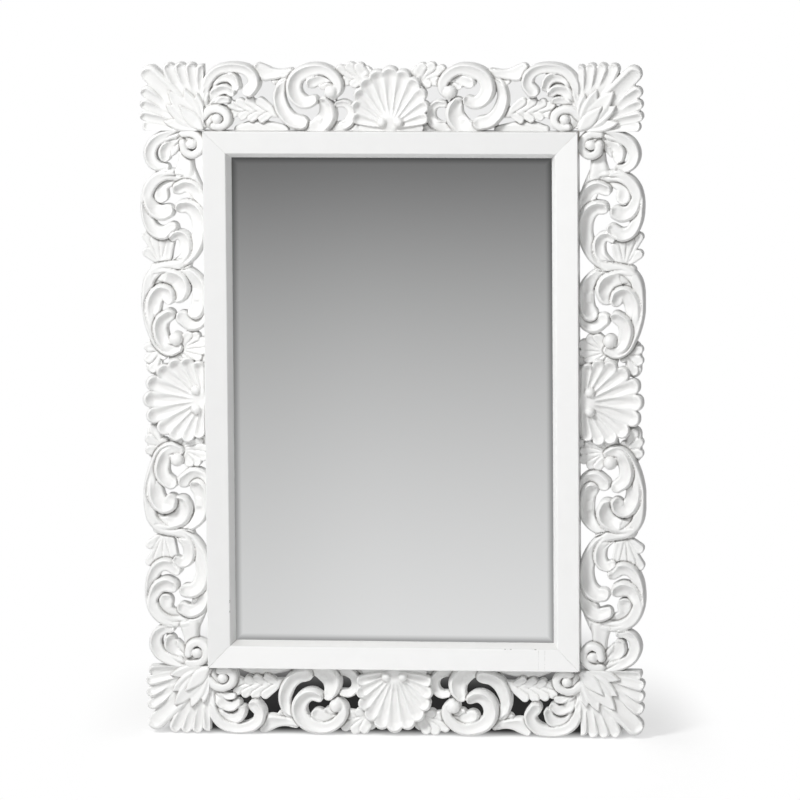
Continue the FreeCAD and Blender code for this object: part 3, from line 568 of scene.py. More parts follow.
@dataclass(frozen=True)
class Paint:
    """White satin paint over wood, with painted shade: a dark grey laid in the recesses of a carving and on
    faces that look up.
    """

    name: str
    colour: Colour = (0.84, 0.84, 0.832)
    shade: Colour = (0.8, 0.8, 0.79)
    # Painted shade: the dark grey laid in hollows and creases and on faces that look up, a little rougher
    # there.
    painted_shade: Colour = (0.4, 0.39, 0.375)
    painted_shade_amount: float = 0.75
    painted_shade_roughness: float = 0.2
    # Painted shade on faces that look up, rising over this range of the normal's upward part.
    up_facing_shade: float = 0.0
    up_facing_slope: Pair = (0.35, 0.7)
    roughness: float = 0.42
    mottle: float = 0.5
    mottle_roughness: float = 0.1
    peel: float = 0.35
    bump: float = 0.05
    bump_depth: float = 0.4 * MM
    recess: str = "recess"
    crack: Colour = (0.16, 0.15, 0.14)
    marks: tuple[Mark, ...] = ()
    middle: float = 0.0

    def make(self) -> bpy.types.Material:
        """Make the paint.

        Returns:
            The material.
        """
        material, nodes, shader = new_material(self.name)
        film = EFFECTS.place(nodes, Effect.PAINT_FILM, Mottle=self.mottle, Peel=self.peel)
        body = nodes.mix(film.outputs["Tone"], opaque(self.colour), opaque(self.shade))
        # Painted shade: the recess attribute lays dark grey in hollows and creases, and faces that look up
        # are darkened as well.
        deep = nodes.add("Attribute", {"attribute_name": self.recess}).outputs["Fac"]
        recess_shade = nodes.math("MULTIPLY", deep, self.painted_shade_amount, clamp=True)
        body = nodes.mix(recess_shade, body, opaque(self.painted_shade))
        surface = nodes.add("TexCoord")
        facing = nodes.add("SeparateXYZ", Vector=surface.outputs["Normal"]).outputs["Z"]
        up_facing_mask = nodes.ramp(facing, *self.up_facing_slope, 0.0, self.up_facing_shade)
        body = nodes.mix(up_facing_mask, body, opaque(self.painted_shade))
        place = nodes.add("SeparateXYZ", Vector=surface.outputs["Object"])
        up = nodes.math("SUBTRACT", place.outputs["Z"], self.middle)
        for mark in self.marks:
            line = mark.mask(nodes, place.outputs["X"], up)
            shown = nodes.math("MULTIPLY", line, film.outputs["Breaks"])
            body = nodes.mix(shown, body, opaque(self.crack))
        nodes.put(shader.inputs["Base Color"], body)
        rough = nodes.math("MULTIPLY_ADD", film.outputs["Tone"], self.mottle_roughness, self.roughness)
        nodes.put(shader.inputs["Roughness"], nodes.math("MULTIPLY_ADD", recess_shade, self.painted_shade_roughness, rough))
        nodes.bump(shader, film.outputs["Relief"], self.bump, self.bump_depth)
        return material


@dataclass(frozen=True)
class Fibre:
    """Raw wood, hardboard or card."""

    name: str
    light: Colour
    dark: Colour
    roughness: float = 0.75
    streak_roughness: float = 0.1
    length: float = 0.12
    density: float = 160.0
    flecks: float = 0.35
    fleck_tone: float = 0.6
    bump: float = 0.12
    bump_depth: float = 0.3 * MM

    def make(self) -> bpy.types.Material:
        """Make the fibre.

        Returns:
            The material.
        """
        material, nodes, shader = new_material(self.name)
        fibre = EFFECTS.place(nodes, Effect.WOOD_FIBRE, Length=self.length, Density=self.density)
        streak = fibre.outputs["Streak"]
        body = nodes.mix(streak, opaque(self.dark), opaque(self.light))
        flecks = nodes.math("MULTIPLY", fibre.outputs["Fleck"], self.flecks)
        body = nodes.mix(flecks, body, opaque(tuple(tone * self.fleck_tone for tone in self.dark)))
        nodes.put(shader.inputs["Base Color"], body)
        rough = nodes.math("MULTIPLY_ADD", streak, self.streak_roughness, self.roughness)
        nodes.put(shader.inputs["Roughness"], rough)
        nodes.bump(shader, fibre.outputs["Relief"], self.bump, self.bump_depth)
        return material


@dataclass(frozen=True)
class Plate:
    """Plated metal for the hardware on the back."""

    name: str
    bright: Colour
    dull: Colour
    roughness: float = 0.3
    dull_roughness: float = 0.18
    scratches: float = 0.5
    bump: float = 0.08
    bump_depth: float = 0.1 * MM

    def make(self) -> bpy.types.Material:
        """Make the plating.

        Returns:
            The material.
        """
        material, nodes, shader = new_material(self.name)
        wear = EFFECTS.place(nodes, Effect.METAL_WEAR, Scratches=self.scratches)
        dull = wear.outputs["Dull"]
        nodes.put(shader.inputs["Base Color"], nodes.mix(dull, opaque(self.bright), opaque(self.dull)))
        shader.inputs["Metallic"].default_value = 1.0
        rough = nodes.math("MULTIPLY_ADD", dull, self.dull_roughness, self.roughness)
        nodes.put(shader.inputs["Roughness"], rough)
        nodes.bump(shader, wear.outputs["Relief"], self.bump, self.bump_depth)
        return material


@dataclass(frozen=True)
class Silvering:
    """Mirror silver behind clear glass, with painted shade: a darker left side and a dark band along the
    glass's visible edge, standing in for the shaded reveal's reflection.
    """

    name: str
    centre_z: float
    half_width: float
    half_height: float
    colour: Colour = (0.86, 0.865, 0.865)
    # Painted shade: the colour towards the left side of the glass.
    left: Colour = (0.79, 0.795, 0.795)
    # Painted shade: the colour of the band along the visible edge.
    edge: Colour = (0.4, 0.405, 0.405)
    shaded_edge_band: float = 9.0 * MM
    haze: Pair = (0.015, 0.04)

    def make(self) -> bpy.types.Material:
        """Make the silvering.

        Returns:
            The material.
        """
        material, nodes, shader = new_material(self.name)
        surface = nodes.add("TexCoord").outputs["Object"]
        place = nodes.add("SeparateXYZ", Vector=surface)
        across = nodes.math("SUBTRACT", self.half_width, nodes.math("ABSOLUTE", place.outputs["X"]))
        height = nodes.math("SUBTRACT", place.outputs["Z"], self.centre_z)
        up = nodes.math("SUBTRACT", self.half_height, nodes.math("ABSOLUTE", height))
        # Painted shade: dark along the visible edge and darker towards the left.
        near = nodes.ramp(nodes.math("MINIMUM", across, up), 0.0, self.shaded_edge_band)
        painted_shade_ramp = nodes.ramp(place.outputs["X"], -self.half_width, 0.0)
        body = nodes.mix(painted_shade_ramp, opaque(self.left), opaque(self.colour))
        nodes.put(shader.inputs["Base Color"], nodes.mix(near, opaque(self.edge), body))
        shader.inputs["Metallic"].default_value = 1.0
        clouds = nodes.noise(surface, scale=22.0, detail=4.0, roughness=0.6)
        clean, smeared = self.haze
        nodes.put(shader.inputs["Roughness"], nodes.ramp(clouds, low=0.3, high=0.8, start=clean, end=smeared))
        return material


# Carving: the depth of an outlining cut in millimetres, then shares of a bead's radius and of a leaf
CUT_DEPTH = 3.6
BEAD_FALL = 0.95
LEAF_MIDDLE = 0.55
LEAF_SWELL = 1.05
LEAFLET_FOOT = 0.75


@dataclass(frozen=True)
class Stroke:
    """One cut of the carver: a rounded band along a curve, hollowed with a gouge.

    Attributes:
        points: (along, out, half width) on the squared pattern.
        rise: Relief at the start and at the end, in millimetres above the wall.
        scoop: Depth of the gouge at the end of the band.
        scoop_width: Share of the half width that the gouge takes.
        lean: How far the gouge moves towards the inside of the bend, as a share of the half width.
        drop: How far the rounded edge falls on the outside of the bend.
        crest: Share of the half width where the edge begins to fall there.
        grow: Share of the length over which the gouge deepens.
        tail: Share of the length over which the band rises out of what lies under it.
        cut: Depth of the outlining cut beside the band, in what lies under it.
    """

    points: tuple[Point, ...]
    rise: Pair
    scoop: float = 0.0
    scoop_width: float = 1.0
    lean: float = 0.45
    drop: float = 8.0
    crest: float = 0.4
    grow: float = 0.5
    tail: float = 0.3
    cut: float = CUT_DEPTH


def band(start: float, end: float, *points: Point, **cut: float) -> Stroke:
    """A stroke that rises from one relief to another."""
    return Stroke(points, (start, end), **cut)


def dome(along: float, out: float, radius: float, rise: float, cut: float = CUT_DEPTH) -> Stroke:
    """A ball or bead that stands out of the carving."""
    return band(rise, rise, (along, out, radius), drop=radius * BEAD_FALL, crest=0.0, tail=0.0, cut=cut)


def spray(start: float, end: float, root: Pair, width: float, tips: Iterable[Point],
          **cut: float) -> list[Stroke]:
    """Leaflets that fan out from one root.

    Args:
        start: Relief at the root, in millimetres.
        end: Relief at the tips.
        root: Place of the root on the squares.
        width: Half width of each leaflet at the root.
        tips: Place and half width of each tip.
        cut: Other values of the strokes.

    Returns:
        One stroke for each tip.
    """
    strokes = []
    for tip in tips:
        along, out = (near + (far - near) * LEAF_MIDDLE for near, far in zip(root, tip))
        strokes.append(band(start, end, (*root, width), (along, out, tip[2] * LEAF_SWELL), tip, **cut))
    return strokes


def leaflets(start: float, end: float, width: float, pairs: Iterable[tuple[Pair, Pair]],
             **cut: float) -> list[Stroke]:
    """Short leaflets that leave a rib one after another, each from its foot to its tip."""
    return [band(start, end, (*foot, width * LEAFLET_FOOT), (*tip, width), **cut) for foot, tip in pairs]


def eased(share: np.ndarray) -> np.ndarray:
    """Smooth step from 0 to 1."""
    share = np.clip(share, 0.0, 1.0)
    return share * share * (3 - 2 * share)


@dataclass
class Trace:
    """Where spots lie on one stroke.

    Attributes:
        reach: Distance from the middle of the band over its half width.
        across: The same with a sign, to the left of the stroke's way.
        past: How far past the end, over the half width.
        share: Share of the stroke's length.
        width: Half width there, in millimetres.
        rise: Relief there, in millimetres.
    """

    reach: Spots
    across: Spots
    past: Spots
    share: Spots
    width: Spots
    rise: Spots


class Relief:
    """Height of a carving over its pattern, worked out stroke by stroke in millimetres.

    Attributes:
        STEPS: Rows between two points of a stroke.
        THINNEST: Least half width of a stroke.
        SHORTEST: Length under which a step of a stroke is passed over.
        TURNING: Share of turning one way from which a stroke counts as bent.
        NEAR: Share of the half width and margin within which a stroke can touch a spot.
        EDGE: Depth over which a band covers what lies under it.
        OUTSIDE: How far outside the outline a height is still given.
        LOWEST: Height that an outlining cut does not go below.
        FULL_WIDTH: Half width from which a band has its full roundness and gouge.
        INNER_DROP: Share of the drop that is left on the inside of a bend.
        INNER_CREST: Share by which the crest is wider there.
        END_RIM: How much sooner the gouge stops at the end of a band.
        GOUGE: Roundness of the gouge.
        SCOOP: Factor on the depth of every gouge.
        CUT_WIDTH: Width of an outlining cut.
        FAR: Reach of a spot that no step of a stroke has come near.
        NOWHERE: Depth inside the outline where nothing is carved.
        EMPTY: Height where nothing is carved.
    """

    STEPS = 14
    THINNEST = 0.2
    SHORTEST = 1e-6
    TURNING = 0.3
    NEAR = (1.5, 2.0)
    EDGE = 0.7
    OUTSIDE = 0.5
    LOWEST = 8.0
    FULL_WIDTH = 5.5
    INNER_DROP = 0.6
    INNER_CREST = 0.4
    END_RIM = 1.25
    GOUGE = 0.68
    SCOOP = 1.5
    CUT_WIDTH = 1.8
    FAR = 1e9
    NOWHERE = -1e3
    EMPTY = -1.0

    def __init__(self, square: Pair, strokes: Iterable[Stroke]) -> None:
        """Lay strokes out at the size of a board.

        Args:
            square: Millimetres in one square of the pattern, along the board and out across it.
            strokes: The strokes, from the lowest to the one on top.
        """
        self.square = square
        self.mean = math.sqrt(square[0] * square[1])
        self.strokes = list(strokes)

    def line(self, stroke: Stroke) -> np.ndarray:
        """Draw a stroke as a smooth run.

        Args:
            stroke: The stroke, on the squares.

        Returns:
            Rows (along, out, half width) in millimetres.
        """
        rows = np.array(stroke.points, float) * (*self.square, self.mean)
        if len(rows) == 1:
            return rows
        ends = np.vstack([2 * rows[0] - rows[1], rows, 2 * rows[-1] - rows[-2]])
        step = np.linspace(0, 1, self.STEPS, endpoint=False)[:, None]
        runs = []
        for before, first, second, after in zip(ends, ends[1:], ends[2:], ends[3:]):
            runs.append(0.5 * (2 * first + (second - before) * step
                               + (2 * before - 5 * first + 4 * second - after) * step ** 2
                               + (3 * first - before - 3 * second + after) * step ** 3))
        rows = np.vstack(runs + [rows[-1:]])
        rows[:, 2] = np.maximum(rows[:, 2], self.THINNEST)
        return rows

    def bend(self, rows: np.ndarray) -> float:
        """Tell which way a run turns.

        Args:
            rows: The run.

        Returns:
            1 where it turns left, -1 where it turns right, 0 where it does neither.
        """
        ways = np.diff(rows[:, :2], axis=0)
        if len(ways) < 2:
            return 0.0
        turns = ways[:-1, 0] * ways[1:, 1] - ways[:-1, 1] * ways[1:, 0]
        share = turns.sum() / (np.abs(turns).sum() + 1e-9)
        return float(np.sign(share)) if abs(share) > self.TURNING else 0.0

    def near(self, rows: np.ndarray, spots: Spots) -> Spots:
        """Find the spots that a run can touch.

        Args:
            rows: The run.
            spots: Rows (along, out) in millimetres.

        Returns:
            Their indices.
        """
        share, margin = self.NEAR
        room = rows[:, 2].max() * share + margin
        low = rows[:, :2].min(0) - room
        high = rows[:, :2].max(0) + room
        return np.where(((spots > low) & (spots < high)).all(1))[0]

    def trace(self, stroke: Stroke, rows: np.ndarray, spots: Spots) -> Trace:
        """Place spots on one stroke.

        Args:
            stroke: The stroke.
            rows: The stroke as a run.
            spots: Rows (along, out) in millimetres.

        Returns:
            Where each spot lies on it.
        """
        count = len(spots)
        found = Trace(np.full(count, self.FAR), np.zeros(count), np.zeros(count), np.ones(count),
                      np.ones(count), np.full(count, stroke.rise[1]))
        if len(rows) == 1:
            gap = spots - rows[0, :2]
            found.reach = np.hypot(gap[:, 0], gap[:, 1]) / rows[0, 2]
            found.past = found.reach.copy()
            found.width[:] = rows[0, 2]
            return found
        last = len(rows) - 1
        for index in range(last):
            first, second = rows[index], rows[index + 1]
            way = second[:2] - first[:2]
            length = float(np.hypot(*way))
            if length < self.SHORTEST:
                continue
            share = np.clip(((spots - first[:2]) @ way) / length ** 2, 0, 1)
            width = first[2] + share * (second[2] - first[2])
            gap = spots - (first[:2] + share[:, None] * way)
            reach = np.hypot(gap[:, 0], gap[:, 1]) / width
            closer = reach < found.reach
            found.reach[closer] = reach[closer]
            found.across[closer] = ((gap[:, 1] * way[0] - gap[:, 0] * way[1]) / length / width)[closer]
            found.past[closer] = ((gap @ way) / length / width)[closer]
            found.share[closer] = ((index + share) / last)[closer]
            found.width[closer] = width[closer]
        found.rise = stroke.rise[0] + (stroke.rise[1] - stroke.rise[0]) * found.share
        return found

    def section(self, stroke: Stroke, bend: float, found: Trace) -> Spots:
        """Work out one stroke's own surface: its rounded edge and its gouge.

        Args:
            stroke: The stroke.
            bend: Which way it turns.
            found: Where the spots lie on it.

        Returns:
            Its height at each spot, in millimetres.
        """
        inner = eased(0.5 + found.across * bend) if bend else np.zeros(len(found.reach))
        crest = stroke.crest + (1 - stroke.crest) * self.INNER_CREST * inner
        edge = np.clip((np.clip(found.reach, 0, 1) - crest) / (1 - crest), 0, 1)
        body = np.minimum(1, found.width / self.FULL_WIDTH)
        drop = stroke.drop * (1 - (1 - self.INNER_DROP) * inner)
        height = found.rise - drop * body * (1 - np.sqrt(1 - edge * edge))
        if stroke.scoop:
            past = np.where(found.share > 0.5, np.maximum(found.past, 0), 0) * self.END_RIM
            hollow = ((found.across - stroke.lean * bend) ** 2 + past ** 2) / stroke.scoop_width ** 2
            depth = self.SCOOP * stroke.scoop * eased(found.share / stroke.grow) * body
            height = height - depth * np.clip(1 - hollow, 0, 1) ** self.GOUGE
        return height

    def measure(self, spots: Spots) -> tuple[Spots, Spots]:
        """Carve strokes over one another at the given spots.

        Args:
            spots: Rows (along, out) in millimetres.

        Returns:
            How far each spot lies inside the carving's outline, and its height above the wall.
        """
        inside = np.full(len(spots), self.NOWHERE)
        height = np.full(len(spots), self.EMPTY)
        for stroke in self.strokes:
            rows = self.line(stroke)
            chosen = self.near(rows, spots)
            if not len(chosen):
                continue
            found = self.trace(stroke, rows, spots[chosen])
            depth = (1 - found.reach) * found.width
            own = self.section(stroke, self.bend(rows), found)
            free = eased(found.share / stroke.tail) if stroke.tail else np.ones(len(chosen))
            cut = np.where(depth < 0, np.clip(1 + depth / self.CUT_WIDTH, 0, 1), 0) * stroke.cut * free
            under = height[chosen]
            under = np.where(under > 0, np.maximum(under - cut, np.minimum(under, self.LOWEST)), under)
            cover = eased(depth / self.EDGE) * free
            laid = np.where(under > 0, under + (own - under) * cover, own)
            beside = np.where(under > 0, under, own)
            shown = np.where(depth > 0, laid, beside)
            height[chosen] = np.where(depth > -self.OUTSIDE, shown, under)
            inside[chosen] = np.maximum(inside[chosen], depth)
        return inside, height

    def highest(self, spots: Spots) -> tuple[Spots, Spots]:
        """Let strokes grow together, the highest of them showing at each spot.

        Args:
            spots: Rows (along, out) in millimetres.

        Returns:
            How far each spot lies inside their outline, and its height above the wall.
        """
        inside = np.full(len(spots), self.NOWHERE)
        height = np.full(len(spots), self.EMPTY)
        for stroke in self.strokes:
            rows = self.line(stroke)
            chosen = self.near(rows, spots)
            found = self.trace(stroke, rows, spots[chosen])
            depth = (1 - found.reach) * found.width
            own = self.section(stroke, self.bend(rows), found)
            own = np.where(depth > -self.OUTSIDE, own, self.EMPTY)
            height[chosen] = np.maximum(height[chosen], own)
            inside[chosen] = np.maximum(inside[chosen], depth)
        return inside, height


@dataclass(frozen=True)
class Shell:
    """A scallop shell: flutes that fan out from a hinge.

    Attributes:
        square: Millimetres in one square of its pattern.
        tips: Tip of each flute on the squares.
        widths: Half width of each flute.
        hinge: How far out the hinge lies.
        hinge_radius: Radius of the rounded hinge.
        hinge_rise: Relief of the hinge, in millimetres above the wall.
        ridge: Relief of the ridges between the flutes.
        lobe_edge: Drop and crest of the lobes' rounded edges.
        lobe_inset: How far a lobe stops short of its tip, as a share of its half width.
        lobe_swell: Half width of a lobe over that of its flute.
        lobe_root: Half width of a lobe at the hinge.
        flute_depth: Depth of the flutes.
        flute_start: Distance from the hinge and half width where a flute starts.
        flute_middle: Share of the length, and of the half width, halfway along a flute.
        flute_swell: Half width of a flute at its end, as a share.
        flute_end: How far a flute runs past the middle of its lobe's end.
        flute_growth: Share of the length over which a flute deepens.
        flute_full: Half width from which a flute has its full depth.
        flute_round: Roundness of a flute.
        bead: Place and radius of the beads beside the hinge.
        bead_rise: Relief of the beads.
        foot: Points of the band along the foot of the shell.
        foot_rise: Relief of that band at its start and end.
        foot_edge: Drop and crest of that band.
    """

    square: Pair
    tips: tuple[Pair, ...]
    widths: tuple[float, ...] = (7.6, 7.2, 6.8, 6.4, 5.8, 5.2)
    hinge: float = 4.0
    hinge_radius: float = 9.0
    hinge_rise: float = 22.0
    ridge: float = 27.2
    lobe_edge: Pair = (7.5, 0.42)
    lobe_inset: float = 0.2
    lobe_swell: float = 1.15
    lobe_root: float = 4.0
    flute_depth: float = 7.2
    flute_start: Pair = (7.0, 1.3)
    flute_middle: Pair = (0.5, 0.66)
    flute_swell: float = 1.12
    flute_end: float = 2.6
    flute_growth: float = 0.3
    flute_full: float = 6.0
    flute_round: float = 0.9
    bead: Point = (8.5, 8.5, 4.4)
    bead_rise: float = 27.4
    foot: tuple[Point, ...] = ((3, 2.5, 4.4), (16, 3, 4.8), (29, 3, 4))
    foot_rise: Pair = (20.5, 19.5)
    foot_edge: Pair = (2.0, 0.2)

    def flutes(self) -> Iterable[Point]:
        """List each flute on both sides of the axis.

        Returns:
            Each as (tip along, tip out, half width).
        """
        for (along, out), width in zip(self.tips, self.widths):
            for side in ((1, -1) if along else (1,)):
                yield side * along, out, width

    def outline(self, share: float) -> Relief:
        """Lay out the body of the shell, without its flutes.

        Args:
            share: Factor on the width of its lobes.

        Returns:
            The relief of the body.
        """
        drop, crest = self.lobe_edge
        cut = {"drop": drop, "crest": crest, "tail": 0.0}
        hinge = (0, self.hinge, self.hinge_radius * share)
        strokes = [band(self.hinge_rise, self.hinge_rise, hinge, **cut)]
        root = (0, self.hinge, self.lobe_root * share)
        for along, out, width in self.flutes():
            end = 1 - self.lobe_inset * width / math.hypot(along, out - self.hinge)
            tip = (along * end, self.hinge + (out - self.hinge) * end, width * self.lobe_swell * share)
            strokes.append(band(self.hinge_rise, self.ridge, root, tip, **cut))
        return Relief(self.square, strokes)

    def grooves(self, spots: Spots) -> Spots:
        """Work out how deep the flutes are.

        Args:
            spots: Rows (along, out) in millimetres.

        Returns:
            Depth of the flutes at each spot.
        """
        relief = Relief(self.square, [])
        groove = np.zeros(len(spots))
        for along, out, width in self.flutes():
            length = math.hypot(along, out - self.hinge)
            way = (along / length, (out - self.hinge) / length)
            far_share, width_share = self.flute_middle
            stations = (self.flute_start, (length * far_share, width * width_share),
                        (length - width + self.flute_end, width * self.flute_swell))
            points = [(way[0] * far, self.hinge + way[1] * far, half) for far, half in stations]
            stroke = band(0, 0, *points)
            found = relief.trace(stroke, relief.line(stroke), spots)
            fullness = np.minimum(1, found.width / self.flute_full)
            depth = self.flute_depth * eased(found.share / self.flute_growth) * fullness
            groove = np.maximum(groove, depth * np.clip(1 - found.reach ** 2, 0, 1) ** self.flute_round)
        return groove

    def measure(self, spots: Spots) -> tuple[Spots, Spots]:
        """Carve the whole shell at the given spots.

        Args:
            spots: Rows (along, out) in millimetres.

        Returns:
            How far each spot lies inside the shell's outline, and its height above the wall.
        """
        inside, height = self.outline(1.0).highest(spots)
        height = height - self.grooves(spots)
        along, out, radius = self.bead
        extras = [dome(side * along, out, radius, self.bead_rise) for side in (1, -1)]
        drop, crest = self.foot_edge
        for side in (1, -1):
            foot = [(side * place, *rest) for place, *rest in self.foot]
            extras.append(band(*self.foot_rise, *foot, drop=drop, crest=crest))
        more, raised = Relief(self.square, extras).highest(spots)
        return np.maximum(inside, more), np.maximum(height, raised)


class Board:
    """A carved board as a mesh: a fine grid raised to the relief, with its sides and its flat back.

    Lengths are in millimetres, and a pull onto the outline and the spread of a blur are in cells.
    Painted shade is laid in wide hollows, the recesses, and in fine creases.
    """

    CELL = 0.8
    THINNEST = 1.0
    SLOPE_RANGE = 6.0
    SLOPE_FLOOR = 0.3
    PULL = 1.3
    PULLS = 2
    SMOOTHING = 1
    SMOOTH_FACTOR = 0.5
    SHARP = 50.0
    BACK_SHARE = 0.4
    BACK_MARGIN = 0.5
    PEG_COVER = 16.9
    PEG_SLOPE = 0.7
    BLUR_REACH = 3
    RECESS_SPREAD = 4.0
    RECESS_DEPTH = 7.0
    CREASE_SPREAD = 1.5
    CREASE_DEPTH = 3.0
    CREASE_SHARE = 0.7
    RECESS = "recess"

    def __init__(self, name: str, low: Pair, high: Pair, carve: Carver, back: float = 0.0,
                 pegs: tuple[Peg, ...] = ()) -> None:
        """Set up one board.

        Args:
            name: Name of the master object.
            low: Lowest (along, out) in millimetres.
            high: Highest (along, out) in millimetres.
            carve: Gives outline and height for spots.
            back: Height of the flat back above the wall, in millimetres.
            pegs: Places of dowels that stay covered, as (along, out) of two corners.
        """
        self.name = name
        self.low = np.array(low)
        self.size = np.array(high) - self.low
        self.carve = carve
        self.back = back
        self.pegs = pegs

    def grid(self) -> tuple[bpy.types.Object, int, int]:
        """Make the flat starting grid.

        Returns:
            The grid and its numbers of columns and rows of vertices.
        """
        columns, rows = (max(2, int(round(length / self.CELL))) for length in self.size)
        Bench.clear()
        bpy.ops.mesh.primitive_grid_add(x_subdivisions=columns, y_subdivisions=rows, size=1.0)
        piece = bpy.context.active_object
        piece.name = self.name
        piece.data.name = self.name
        return piece, columns + 1, rows + 1

    def blurred(self, level: np.ndarray, spread: float) -> np.ndarray:
        """Blur a grid of heights.

        Args:
            level: The grid.
            spread: Spread of the blur, in cells.

        Returns:
            The blurred grid.
        """
        reach = int(self.BLUR_REACH * spread) + 1
        weights = np.exp(-np.arange(-reach, reach + 1) ** 2 / (2 * spread ** 2))
        weights /= weights.sum()
        for axis in (0, 1):
            level = np.apply_along_axis(lambda line: np.convolve(line, weights, "same"), axis, level)
        return level

    def snapped(self, spots: Spots, inside: Spots, shape: tuple[int, int],
                faces: np.ndarray) -> tuple[Spots, np.ndarray]:
        """Keep the cells that touch the carving and pull their outer corners onto its outline.

        Args:
            spots: Grid spots in millimetres.
            inside: How far each lies inside the outline.
            shape: Rows and columns of the grid.
            faces: Four vertex indices for each cell.

        Returns:
            The moved spots and a mask of the cells to delete.
        """
        kept = (inside[faces] > 0).any(1)
        rim = np.zeros(len(spots), bool)
        rim[faces[kept].ravel()] = True
        rim &= inside <= 0
        cell = self.size / (np.array(shape[::-1]) - 1)
        near = np.clip(inside, -self.SLOPE_RANGE, self.SLOPE_RANGE).reshape(shape)
        slope_out, slope_along = np.gradient(near, cell[1], cell[0])
        slope = np.stack([slope_along.ravel(), slope_out.ravel()], 1)[rim]
        slope /= np.maximum(np.linalg.norm(slope, axis=1, keepdims=True), self.SLOPE_FLOOR)
        moved = spots.copy()
        depth = inside[rim]
        for _ in range(self.PULLS):
            shift = np.clip(-depth, -self.CELL, self.PULL * self.CELL)[:, None] * slope
            moved[rim] = np.clip(moved[rim] + shift, self.low, self.low + self.size)
            depth = self.carve(moved[rim])[0]
        return moved, ~kept

    def covered(self, spots: Spots, height: Spots) -> Spots:
        """Raise the carving where it would bare a dowel.

        Args:
            spots: Rows (along, out) in millimetres.
            height: Height at each.

        Returns:
            The new heights.
        """
        along, out = np.abs(spots[:, 0]), spots[:, 1]
        for first, near, last, far in self.pegs:
            beside = np.maximum(np.maximum(first - along, along - last), 0)
            beyond = np.maximum(np.maximum(near - out, out - far), 0)
            height = np.maximum(height, self.PEG_COVER - self.PEG_SLOPE * np.hypot(beside, beyond))
        return height

    def painted_shade(self, level: np.ndarray) -> np.ndarray:
        """Find where painted shade goes: darker in hollows and creases.

        Args:
            level: Grid of heights in millimetres.

        Returns:
            Share of painted shade in each place of the grid.
        """
        hollow = (self.blurred(level, self.RECESS_SPREAD) - level) / self.RECESS_DEPTH
        crease = (self.blurred(level, self.CREASE_SPREAD) - level) / self.CREASE_DEPTH
        return np.clip(np.maximum(hollow, 0) + self.CREASE_SHARE * np.clip(crease, 0, 1), 0, 1)

    def make(self) -> bpy.types.Object:
        """Carve the board.

        Returns:
            The master object, in the board's own frame: along on X, out on Z, relief towards -Y.
        """
        piece, columns, rows = self.grid()
        flat = Bench.coordinates(piece)[:, :2]
        order = np.lexsort((flat[:, 0], flat[:, 1]))
        spots = self.low + (flat + 0.5) * self.size
        inside = self.carve(spots)[0]
        corners = np.zeros(len(piece.data.loops), np.int32)
        piece.data.loops.foreach_get("vertex_index", corners)
        rank = np.empty_like(order)
        rank[order] = np.arange(len(order))
        faces = rank[corners.reshape(-1, 4)]
        moved, waste = self.snapped(spots[order], inside[order], (rows, columns), faces)
        spots = moved[rank]
        inside, height = self.carve(spots)
        height = self.covered(spots, np.maximum(height, self.back + self.THINNEST))
        level = np.where(inside > -Relief.OUTSIDE, height, self.back)[order].reshape(rows, columns)
        # Painted shade for the recesses and creases, kept in the recess attribute.
        recess = self.painted_shade(level).ravel()[rank]
        Bench.move_to(piece, np.stack([spots[:, 0], -height, spots[:, 1]], 1) * MM)
        piece.data.attributes.new(self.RECESS, "FLOAT", "POINT")
        piece.data.attributes[self.RECESS].data.foreach_set("value", recess.astype(np.float32))
        self.close(piece, waste)
        return piece

    def close(self, piece: bpy.types.Object, waste: np.ndarray) -> None:
        """Cut the waste away, soften the surface as paint does, and add the sides and the back.

        Args:
            piece: The raised grid.
            waste: Mask of the cells to delete.
        """
        Bench.edit(piece, "FACE")
        bpy.ops.object.mode_set(mode="OBJECT")
        piece.data.polygons.foreach_set("select", waste)
        bpy.ops.object.mode_set(mode="EDIT")
        bpy.ops.mesh.delete(type="FACE")
        bpy.ops.mesh.select_mode(type="VERT")
        bpy.ops.mesh.select_all(action="SELECT")
        bpy.ops.mesh.vertices_smooth(factor=self.SMOOTH_FACTOR, repeat=self.SMOOTHING, xaxis=False,
                                     yaxis=True, zaxis=False)
        bpy.ops.mesh.select_mode(type="FACE")
        bpy.ops.mesh.select_all(action="SELECT")
        bpy.ops.mesh.extrude_region_move()
        bpy.ops.transform.resize(value=(1, 0, 1), center_override=(0, -self.back * MM, 0))
        bpy.ops.mesh.select_less()
        bpy.ops.mesh.decimate(ratio=self.BACK_SHARE)
        bpy.ops.object.mode_set(mode="OBJECT")
        Bench.finish_mesh(piece, self.SHARP)
        # The painted shade is taken off the flat back.
        values = piece.data.attributes[self.RECESS].data
        recess = np.zeros(len(piece.data.vertices), np.float32)
        values.foreach_get("value", recess)
        recess[Bench.coordinates(piece)[:, 1] > -(self.back + self.BACK_MARGIN) * MM] = 0.0
        values.foreach_set("value", recess)


# Patterns, drawn on squares: along from the middle of a board, out from the moulding's edge


